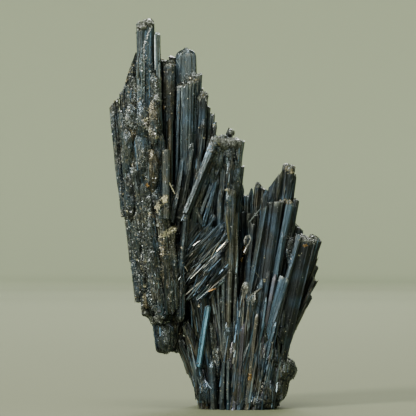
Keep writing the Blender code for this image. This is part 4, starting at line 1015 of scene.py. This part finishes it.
def needle(soup, start, finish, width, tone, rng, bow=0.0):
    """A thin straight or slightly bent needle with a slanted tip."""
    start = np.array(start, float)
    finish = np.array(finish, float)
    along, across, through = axes_of(start, finish, rng.uniform(0, 90))
    length = np.linalg.norm(finish - start)
    thick = width * rng.uniform(0.5, 0.9)
    angle = np.linspace(0, 2 * math.pi, NEEDLE_SIDES, endpoint=False) + rng.uniform(0, 1)
    wide = across * np.cos(angle)[:, None] * width / 2
    deep = through * np.sin(angle)[:, None] * thick / 2
    slant = along * (np.cos(angle) * width * 0.9)[:, None]
    rings = []
    for share in np.linspace(0, 1, NEEDLE_RINGS):
        at_tip = share > 0.9
        centre = start + along * (length * share) + across * (bow * math.sin(math.pi * share))
        rings.append(centre + (wide + deep) * (0.55 if at_tip else 1.0) + slant * at_tip)
    verts = np.vstack(rings + [finish])
    faces = []
    for s in range(NEEDLE_RINGS - 1):
        for k in range(NEEDLE_SIDES):
            n = (k + 1) % NEEDLE_SIDES
            low = s * NEEDLE_SIDES
            faces.append((low + k, low + n, low + NEEDLE_SIDES + n, low + NEEDLE_SIDES + k))
    top = (NEEDLE_RINGS - 1) * NEEDLE_SIDES
    apex = len(verts) - 1
    for k in range(NEEDLE_SIDES):
        faces.append((top + k, top + (k + 1) % NEEDLE_SIDES, apex, apex))
    number = rng.uniform(0, 50)
    grains = np.stack([np.zeros(len(verts)), (verts - start) @ along, np.full(len(verts), number)], axis=1)
    soup.add(verts, faces, np.array(tone), grains)


def chip(soup, centre, size, tone, rng, flat=1.0):
    """A small angular grain."""
    shape = OCTAHEDRON * [[rng.uniform(0.5, 1.3)] for _ in range(6)] * (size, size, size * flat)
    a = rng.uniform(0, FULL_TURN)
    b = rng.uniform(0, FULL_TURN)
    turn_z = np.array([(math.cos(a), -math.sin(a), 0), (math.sin(a), math.cos(a), 0), (0, 0, 1)])
    turn_x = np.array([(1, 0, 0), (0, math.cos(b), -math.sin(b)), (0, math.sin(b), math.cos(b))])
    verts = shape @ turn_z.T @ turn_x.T + centre
    soup.add(verts, OCTAHEDRON_FACES, np.array(tone), np.tile(centre, (6, 1)))


def lump(soup, centre, half, tone, rough):
    """A rounded, finely broken lump."""
    centre = np.array(centre)
    polar = np.linspace(POLE, math.pi - POLE, LUMP_ROWS)
    turn = np.linspace(0, 2 * math.pi, LUMP_COLUMNS, endpoint=False)
    p, q = np.meshgrid(polar, turn, indexing="ij")
    unit = np.stack([np.sin(p) * np.cos(q), np.sin(p) * np.sin(q), np.cos(p)], axis=-1).reshape(-1, 3)
    verts = unit * half + centre
    verts = verts + unit * (layered(verts * LUMP_DRAWN, LUMP_LAYERS) * rough)[:, None]
    faces = []
    for r in range(LUMP_ROWS - 1):
        for c in range(LUMP_COLUMNS):
            n = (c + 1) % LUMP_COLUMNS
            low = r * LUMP_COLUMNS
            faces.append((low + c, low + LUMP_COLUMNS + c, low + LUMP_COLUMNS + n, low + n))
    soup.add(verts, faces, np.array(tone), verts)


class Shade:
    """One material's nodes, with a short way to add each kind of node."""

    def __init__(self, name):
        self.material = bpy.data.materials.new(name)
        self.material.use_nodes = True
        self.nodes = self.material.node_tree.nodes
        self.links = self.material.node_tree.links
        self.shader = self.nodes["Principled BSDF"]
        self.place = self.nodes.new("ShaderNodeTexCoord").outputs["Object"]

    def put(self, value, socket):
        """Links an output to a socket, or sets a constant on it."""
        if hasattr(value, "is_linked"):
            self.links.new(value, socket)
        else:
            socket.default_value = value

    def attribute(self, name, output):
        made = self.nodes.new("ShaderNodeAttribute")
        made.attribute_name = name
        return made.outputs[output]

    def mix(self, factor, first, second, kind="MIX"):
        made = self.nodes.new("ShaderNodeMix")
        made.data_type = "RGBA"
        made.blend_type = kind
        for value, socket in ((factor, 0), (first, 6), (second, 7)):
            self.put(value, made.inputs[socket])
        return made.outputs[2]

    def combine(self, kind, first, second):
        made = self.nodes.new("ShaderNodeMath")
        made.operation = kind
        self.put(first, made.inputs[0])
        self.put(second, made.inputs[1])
        return made.outputs[0]

    def noise(self, vector, scale, detail):
        made = self.nodes.new("ShaderNodeTexNoise")
        made.inputs["Scale"].default_value = scale
        made.inputs["Detail"].default_value = detail
        self.links.new(vector, made.inputs["Vector"])
        return made.outputs["Fac"]

    def ramp(self, value, low, high, to_low=0.0, to_high=1.0):
        made = self.nodes.new("ShaderNodeMapRange")
        made.inputs["From Min"].default_value = low
        made.inputs["From Max"].default_value = high
        made.inputs["To Min"].default_value = to_low
        made.inputs["To Max"].default_value = to_high
        self.links.new(value, made.inputs["Value"])
        return made.outputs["Result"]

    def stretched(self, vector, scale):
        made = self.nodes.new("ShaderNodeVectorMath")
        made.operation = "MULTIPLY"
        made.inputs[1].default_value = scale
        self.links.new(vector, made.inputs[0])
        return made.outputs[0]

    def bump(self, height, strength, distance, normal=None):
        made = self.nodes.new("ShaderNodeBump")
        made.inputs["Strength"].default_value = strength
        made.inputs["Distance"].default_value = distance
        self.links.new(height, made.inputs["Height"])
        if normal:
            self.links.new(normal, made.inputs["Normal"])
        return made.outputs["Normal"]


def mineral(name, metallic, rough_low, rough_high, dust, tarnish, bump, facets):
    """Striated metallic mineral: the crystal's tone, streaks, blue tarnish, and pale dust in patches."""
    shade = Shade(name)
    grain = shade.attribute("grain", "Vector")
    streaks = shade.noise(shade.stretched(grain, STREAK_STRETCH), 1.0, 4.0)
    fine = shade.noise(shade.stretched(grain, FINE_STRETCH), 1.0, 2.0)
    patches = shade.noise(shade.place, PATCH_SCALE, 4.0)
    specks = shade.noise(shade.place, SPECK_SCALE, 3.0)
    dusty = shade.noise(shade.place, DUST_SCALE, 3.0)
    streaky = shade.mix(shade.ramp(streaks, 0.34, 0.68), STREAK_DARK, STREAK_LIGHT)
    colour = shade.mix(1.0, shade.attribute("tone", "Color"), streaky, "MULTIPLY")
    blue = shade.combine("MULTIPLY", shade.ramp(patches, 0.5, 0.66), tarnish)
    colour = shade.mix(blue, colour, TARNISH_BLUE)
    speckled = shade.ramp(shade.combine("MULTIPLY", specks, fine), 0.24, 0.38)
    in_patches = shade.combine("MULTIPLY", speckled, shade.ramp(dusty, 0.42, 0.62))
    colour = shade.mix(shade.combine("MULTIPLY", in_patches, dust), colour, DUST)
    shade.links.new(colour, shade.shader.inputs["Base Color"])
    shade.shader.inputs["Metallic"].default_value = metallic
    shade.links.new(shade.ramp(specks, 0.0, 1.0, rough_low, rough_high), shade.shader.inputs["Roughness"])
    normal = shade.bump(shade.combine("ADD", fine, specks), 0.7, bump)
    if facets:
        grit = shade.noise(shade.stretched(shade.place, FACET_STRETCH), 1.0, 2.0)
        normal = shade.bump(grit, 0.75, facets, normal)
    shade.links.new(normal, shade.shader.inputs["Normal"])
    return shade.material


def crust_material():
    """Pale earthy grains and crusts, and white and gold grains that are painted glints: dull, with each
    grain's own tone.
    """
    shade = Shade("crust")
    mottle = shade.ramp(shade.noise(shade.place, MOTTLE_SCALE, 3.0), 0.4, 0.62)
    colour = shade.mix(mottle, shade.attribute("tone", "Color"), CRUST_MOTTLE, "MULTIPLY")
    shade.links.new(colour, shade.shader.inputs["Base Color"])
    shade.shader.inputs["Roughness"].default_value = CRUST_ROUGHNESS
    shade.shader.inputs["Metallic"].default_value = CRUST_METALLIC
    return shade.material


def line_of(row, clean):
    """A crystal's root, tip, direction and width, and whether it stays free of splinters."""
    root = spread(row[0])
    tip = spread(row[1])
    return root, tip, (tip - root) / np.linalg.norm(tip - root), row[2], clean


class Cluster:
    """The outside of all the crystals, to lay small things on, and the middle line of each crystal."""

    def __init__(self, soups, lines):
        points = []
        faces = []
        total = 0
        for soup in soups:
            points.append(np.concatenate(soup.points))
            faces.extend((np.concatenate(soup.faces) + total).tolist())
            total += soup.count
        surface = np.concatenate(points)
        surface[:, 2] = np.maximum(surface[:, 2], 0.0)
        self.tree = BVHTree.FromPolygons(surface.tolist(), [f if f[2] != f[3] else f[:3] for f in faces])
        self.roots = np.array([line[0] for line in lines])
        self.tips = np.array([line[1] for line in lines])
        self.alongs = np.array([line[2] for line in lines])
        self.widths = np.array([line[3] for line in lines])
        self.clean = [line[4] for line in lines]

    def nearest_crystal(self, point):
        """The number of the crystal whose middle line passes closest."""
        reach = np.einsum("ij,ij->i", point - self.roots, self.alongs)
        reach = np.clip(reach, 0, np.linalg.norm(self.tips - self.roots, axis=1))
        gap = np.linalg.norm(point - (self.roots + self.alongs * reach[:, None]), axis=1)
        return int((gap - self.widths / 2).argmin())

    def gap(self, point):
        """How far a point is from the surface."""
        return self.tree.find_nearest(Vector(point))[3]

    def seen(self, x, z, side):
        """The point and the normal first met at (x, z), from the front (-1) or from behind (1)."""
        return self.tree.ray_cast(Vector((x, SEEN_FROM * side, z)), Vector((0, -side, 0)))[:2]

    def hit(self, rng, low, high, front=False):
        """A random point on the outside, seen nearly level from a random side, and the way out from it."""
        turn = rng.uniform(*FRONT_TURNS) if front else rng.uniform(0, 2 * math.pi)
        out = Vector((math.cos(turn), math.sin(turn), rng.uniform(-0.1, 0.5))).normalized()
        target = Vector([rng.uniform(a, b) for a, b in zip(low, high)])
        found, normal, _, _ = self.tree.ray_cast(target + out * RAY_START, -out)
        if found is None:
            return None
        if normal.dot(out) < 0:
            normal = -normal
        return np.array(found), np.array(normal)


def corners_of(area):
    """The corners of a box from an area of the table, through the cluster's whole depth."""
    x_low, x_high, z_low, z_high = area
    return (x_low, DEPTHS[0], z_low), (x_high, DEPTHS[1], z_high)


def group_soups(coarse, lines, rng):
    """The crystals of each group. The roughest of all groups go into one soup, for another material."""
    soups = {}
    for name, rows in GROUPS.items():
        soups[name] = Soup()
        for row, tone, digit in zip(rows, TONES[name], ROUGHNESS[name]):
            rough = int(digit)
            if name == "cores":
                crystal(soups[name], row, tone, rough, rng, *CORE_GRID)
            elif rough >= COARSE_FROM:
                crystal(coarse, row, tone, rough, rng, *COARSE_GRID)
            else:
                grid = BACK_GRID if name == "back" else GROUP_GRID
                crystal(soups[name], row, tone, max(rough, LEAST_ROUGH), rng, *grid, CALM.get(name, 1.0))
            lines.append(line_of(row, digit == "0" and name not in ("cores", "needle_hollow")))
    return soups


def add_matrix(soup, rng):
    """Lumps of the solid, worn caps, the dark matrix at the foot and the filling of the fan."""
    for centre, half in LUMPS:
        if centre not in CRUST_BALLS:
            lump(soup, spread(centre), half, PALETTE["n" if centre[0] < -10 else "d"], LUMP_ROUGHNESS)
    for x, y, z, half_x, half_z in CAPS:
        lump(soup, (x, y, z), (half_x, CAP_DEPTH, half_z), CAP_TONE, CAP_ROUGHNESS)
    for centre, half in MATRIX:
        lump(soup, centre, half, PALETTE[rng.choice(MATRIX_TONES)], MATRIX_ROUGHNESS)
    for centre, half, tone in FILLING:
        lump(soup, centre, half, PALETTE[tone], FILLING_ROUGHNESS)


def add_altered_skin(soup, rng):
    """The pale laths, and the altered skin over the front of the left tower and on the middle tower."""
    for row in CRUST_LATHS:
        crystal(soup, row, "p", LATH_ROUGH, rng, *LATH_GRID)
    for x, z, half_x, half_z in SKIN:
        tone = PALETTE[rng.choice(SKIN_TONES)]
        lump(soup, (x, SKIN_Y, z), (half_x, SKIN_DEPTH, half_z), tone, SKIN_ROUGHNESS)
    for x, y, z, half_x, half_z in MIDDLE_SKIN:
        tone = PALETTE[rng.choice(MIDDLE_SKIN_TONES)]
        lump(soup, (x, y, z), (half_x, MIDDLE_SKIN_DEPTH, half_z), tone, MIDDLE_SKIN_ROUGHNESS)


def add_features(soup, dark_soup, lines, rng):
    """The blades of FEATURES, those on the dark right side apart."""
    for row, tone in zip(FEATURES, FEATURE_TONES):
        x = row[1][0]
        calm = 0.3 if row[5] == "dome" or x > 8 else 0.65
        rough = 0 if tone == "c" else LEAST_ROUGH
        crystal(dark_soup if x > 10 else soup, row, tone, rough, rng, *FEATURE_GRID, calm)
        lines.append(line_of(row, True))


def back_skin(cluster, rng):
    soup = Soup()
    for x, z, half_x, half_z in BACK_SKIN:
        y = cluster.seen(x, z, 1)[0][1] - BACK_SKIN_SUNK
        tone = PALETTE[rng.choice(BACK_SKIN_TONES)]
        lump(soup, (x, y, z), (half_x, BACK_SKIN_DEPTH, half_z), tone, BACK_SKIN_ROUGHNESS)
    return soup


def scatter_splinters(soup, cluster, rng, count, area, lengths, widths, tones, front, stray, reach):
    """Splinters that lie along the crystals, none of them on a clean one or sticking out."""
    for _ in range(count):
        found = cluster.hit(rng, *corners_of(area), front)
        if found is None:
            continue
        point, normal = found
        nearest = cluster.nearest_crystal(point)
        if cluster.clean[nearest]:
            continue
        along = cluster.alongs[nearest] + np.array([rng.gauss(0, stray) for _ in range(3)])
        along = along - normal * (along @ normal) * 0.85
        along = along / np.linalg.norm(along)
        width = rng.uniform(*widths)
        length = rng.uniform(*lengths)
        start = point - along * length * rng.uniform(0.3, 0.7) - normal * width * 0.15
        if any(cluster.gap(start + along * length * share) > reach for share in MEASURED_AT):
            continue
        tone = np.array(PALETTE[rng.choice(tones)]) * rng.uniform(0.7, 1.5)
        needle(soup, start, start + along * length, width, tone, rng)


def scatter_short_blades(soup, cluster, rng):
    """Short blades at all angles in the broken matrix, but none on the bulge at the right."""
    for centre, half in MATRIX:
        low = np.subtract(centre, half)
        high = np.add(centre, half)
        for _ in range(0 if centre[0] > 8 else SHORT_BLADES):
            found = cluster.hit(rng, low, high)
            if found is None or np.any(np.abs(found[0] - centre) > np.array(half) + 0.7):
                continue
            point, normal = found
            lean = np.array([rng.gauss(0, 1) for _ in range(3)])
            lean = lean - normal * (lean @ normal) * 0.9 + np.array((0, 0, 0.8))
            lean /= np.linalg.norm(lean)
            length = rng.uniform(*SHORT_LENGTHS)
            start = point - lean * length / 2
            if max(cluster.gap(start), cluster.gap(start + lean * length)) > SHORT_REACH:
                continue
            tone = np.array(PALETTE[rng.choice(SHORT_TONES)]) * rng.uniform(0.6, 1.7)
            needle(soup, start, start + lean * length, rng.uniform(*SHORT_WIDTHS), tone, rng)


def splinters(cluster, rng):
    soup = Soup()
    for row in SPLINTERS:
        scatter_splinters(soup, cluster, rng, *row)
    scatter_short_blades(soup, cluster, rng)
    return soup


def hollow_needles(rng):
    """The leaning needles that fill the hollow, the curled flake in the gap, and needles that stand alone; the
    pale and copper lone needles are painted highlights.
    """
    soup = Soup()
    for _ in range(HOLLOW_NEEDLES):
        x = rng.uniform(*HOLLOW_X)
        z = rng.uniform(*HOLLOW_Z)
        if z > 27 and x > -10.6 + 0.75 * (38 - z):
            continue
        lean = math.radians(rng.gauss(*HOLLOW_LEAN))
        length = rng.uniform(*HOLLOW_LENGTHS)
        start = np.array((x, HOLLOW_FRONT - rng.uniform(0.0, HOLLOW_DEPTH), z))
        finish = start + np.array((math.sin(lean), rng.uniform(-0.08, 0.02), math.cos(lean))) * length
        if finish[0] > HOLLOW_RIGHT or finish[2] > HOLLOW_TOP:
            continue
        tone = np.array(PALETTE[rng.choice(HOLLOW_TONES)]) * rng.uniform(0.4, 1.5)
        width = rng.choice(HOLLOW_WIDTHS)
        needle(soup, start, finish, width, tone, rng, rng.uniform(-0.15, 0.15))
    for shift, y, width, tone in CURL_LAYERS:
        for (x, z), (next_x, next_z) in zip(CURL, CURL[1:]):
            needle(soup, (x + shift, y, z - shift), (next_x + shift, y, next_z - shift), width, tone, rng)
    for start, finish, width, tone in LONE_NEEDLES_AND_PAINTED_HIGHLIGHTS:
        needle(soup, start, finish, width, tone, rng)
    return soup


def scatter_grains(soup, cluster, rng, count, area, sizes, colours, front):
    for _ in range(count):
        found = cluster.hit(rng, *corners_of(area), front)
        if found is None:
            continue
        point, normal = found
        size = rng.uniform(*sizes) * rng.choice((0.6, 0.8, 1.0, 1.5))
        chip(soup, point - normal * size * 0.3, size, rng.choice(colours), rng)


def add_ridges(soup, cluster, rng):
    """Broken ridges on the front, each a row of grains along a line; the white row is a painted highlight
    along an edge.
    """
    for line, width, tone, count in RIDGES:
        for _ in range(count):
            k = rng.randrange(len(line) - 1)
            share = rng.uniform(0, 1)
            x = line[k][0] + (line[k + 1][0] - line[k][0]) * share + rng.gauss(0, width)
            z = line[k][1] + (line[k + 1][1] - line[k][1]) * share + rng.gauss(0, width)
            found, _ = cluster.seen(x, z, -1)
            if found is None:
                continue
            size = rng.uniform(0.08, 0.26)
            chip(soup, np.array(found), size, np.array(tone) * rng.uniform(0.4, 1.3), rng, 0.7)


def add_crusts(soup, cluster, rng):
    """Pale crusts and specks on the front, each a patch of grains; the white and gold specks are painted
    glints.
    """
    for (x, z), half_x, half_z, tone, count in CRUSTS:
        for _ in range(count):
            across = rng.gauss(0, 0.5) * half_x
            up = rng.gauss(0, 0.5) * half_z
            found, normal = cluster.seen(x + across, z + up, -1)
            if found is None:
                continue
            size = rng.uniform(0.06, 0.2)
            point = np.array(found) - np.array(normal) * size * (0.2 if normal[1] > 0 else -0.2)
            chip(soup, point, size, np.array(tone) * rng.uniform(0.6, 1.25), rng)


def add_broken_tops(soup, cluster, rng):
    """Angular grains over the tops of the crystals that are broken off."""
    for x, y, z, half_x, half_z, count in BROKEN_TOPS:
        for _ in range(count):
            across = rng.gauss(0, 0.45) * half_x
            deep = rng.gauss(0, 0.6)
            spot = Vector((x + across, y + deep, z + rng.gauss(0, 0.45) * half_z))
            found, _, _, gap = cluster.tree.find_nearest(spot)
            if gap > 1.2:
                continue
            size = rng.uniform(0.1, 0.3)
            tone = np.array(rng.choice((ASH, ASH, SILVER, DARK_GRAIN_AND_PIT_SHADE, SAND))) * rng.uniform(0.5, 1.2)
            chip(soup, np.array(found), size, tone, rng)


# The grains, ridges, crusts and broken tops; the white and gold grains are painted glints, the large dark
# grains painted shade in pits
def grit(cluster, rng):
    soup = Soup()
    for row in GRAINS:
        scatter_grains(soup, cluster, rng, *row)
    add_ridges(soup, cluster, rng)
    add_crusts(soup, cluster, rng)
    add_broken_tops(soup, cluster, rng)
    return soup


def all_pieces():
    """Draws every piece in turn from one seeded row of random numbers, and gives back the objects."""
    rng = random.Random(SEED)
    looks = {name: mineral(name, *row) for name, row in MINERALS.items()}
    looks["crust"] = crust_material()
    lines = []
    coarse = Soup()
    matrix = Soup()
    features = Soup()
    dark_features = Soup()
    groups = group_soups(coarse, lines, rng)
    add_matrix(matrix, rng)
    add_altered_skin(coarse, rng)
    add_features(features, dark_features, lines, rng)
    made = []
    for name, soup in groups.items():
        made.append((name, soup, "stibnite_dull" if name in CALM else "stibnite_blades"))
    made.append(("features", features, "stibnite_fresh"))
    made.append(("dark_features", dark_features, "stibnite_dull"))
    made.append(("altered", coarse, "stibnite_altered"))
    made.append(("matrix", matrix, "stibnite_altered"))
    cluster = Cluster([soup for _, soup, _ in made], lines)
    made.append(("back_skin", back_skin(cluster, rng), "stibnite_altered"))
    made.append(("splinters", splinters(cluster, rng), "stibnite_needles"))
    made.append(("hollow_needles", hollow_needles(rng), "stibnite_needles"))
    made.append(("grit", grit(cluster, rng), "crust"))
    return [soup.build(name, looks[look]) for name, soup, look in made]


def stage_profile():
    """The stage's outline from its middle outward: flat, then a quarter circle, then an upright wall."""
    profile = [(0.0, 0.0), (FLOOR_REACH, 0.0)]
    for k in range(1, CURVE_STEPS + 1):
        angle = math.pi / 2 * k / CURVE_STEPS
        profile.append((FLOOR_REACH + CURVE * math.sin(angle), CURVE - CURVE * math.cos(angle)))
    profile.append((FLOOR_REACH + CURVE, WALL_TOP))
    return profile


def stage_material():
    """A matt colour, paler with the distance from the middle, which evens out the fall of the light."""
    shade = Shade("backdrop")
    far = shade.nodes.new("ShaderNodeVectorMath")
    far.operation = "LENGTH"
    shade.links.new(shade.stretched(shade.place, (1.0, 1.0, 0.0)), far.inputs[0])
    tint = shade.nodes.new("ShaderNodeValToRGB")
    shade.links.new(shade.ramp(far.outputs["Value"], 0.0, FLOOR_REACH + CURVE), tint.inputs[0])
    stops = tint.color_ramp.elements
    while len(stops) < len(STAGE_SHADES):
        stops.new(1.0)
    for stop, (reach, green) in zip(stops, STAGE_SHADES):
        toward_wall = min(1.0, reach / STAGE_WALL_REACH)
        blue_share = STAGE_BLUE_MIDDLE + (STAGE_BLUE_WALL - STAGE_BLUE_MIDDLE) * toward_wall
        stop.position = reach / (FLOOR_REACH + CURVE)
        stop.color = (green * STAGE_RED, green, green * blue_share, 1)
    shade.links.new(tint.outputs["Color"], shade.shader.inputs["Base Color"])
    shade.shader.inputs["Roughness"].default_value = 0.9
    shade.shader.inputs["Specular IOR Level"].default_value = 0.1
    return shade.material


def backdrop():
    """A plain round floor that curves up into a plain wall on every side."""
    profile = stage_profile()
    points = []
    for reach, height in profile:
        for k in range(STAGE_ROUND):
            turn = 2 * math.pi * k / STAGE_ROUND
            points.append((reach * math.cos(turn), reach * math.sin(turn), height))
    faces = []
    for row in range(len(profile) - 1):
        for k in range(STAGE_ROUND):
            n = (k + 1) % STAGE_ROUND
            low = row * STAGE_ROUND
            faces.append((low + k, low + n, low + STAGE_ROUND + n, low + STAGE_ROUND + k))
    data = bpy.data.meshes.new("backdrop")
    data.from_pydata(points, [], faces)
    data.polygons.foreach_set("use_smooth", np.full(len(faces), True))
    data.materials.append(stage_material())
    obj = bpy.data.objects.new("backdrop", data)
    bpy.context.scene.collection.objects.link(obj)


def softbox(name, place, size, energy, target):
    data = bpy.data.lights.new(name, "AREA")
    data.size = size
    data.energy = energy
    obj = bpy.data.objects.new(name, data)
    obj.location = place
    obj.rotation_euler = (Vector(target) - Vector(place)).to_track_quat("-Z", "Y").to_euler()
    bpy.context.scene.collection.objects.link(obj)


def camera():
    data = bpy.data.cameras.new("camera")
    data.sensor_width = 36.0
    data.lens = data.sensor_width * CAMERA_DISTANCE / VIEW_WIDTH
    data.clip_start = 0.01
    obj = bpy.data.objects.new("camera", data)
    obj.location = (CAMERA_X, -CAMERA_DISTANCE, CAMERA_Z)
    obj.rotation_euler = (math.pi / 2, 0, 0)
    bpy.context.scene.collection.objects.link(obj)
    bpy.context.scene.camera = obj


def world():
    made = bpy.data.worlds.new("studio")
    made.use_nodes = True
    background = made.node_tree.nodes["Background"]
    background.inputs["Color"].default_value = WORLD_COLOUR
    background.inputs["Strength"].default_value = WORLD_STRENGTH
    bpy.context.scene.world = made


pieces = all_pieces()
backdrop()
for light in LIGHTS:
    softbox(*light)
camera()
world()

for piece in pieces:
    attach(piece, "root")
    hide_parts("crystal_cluster")
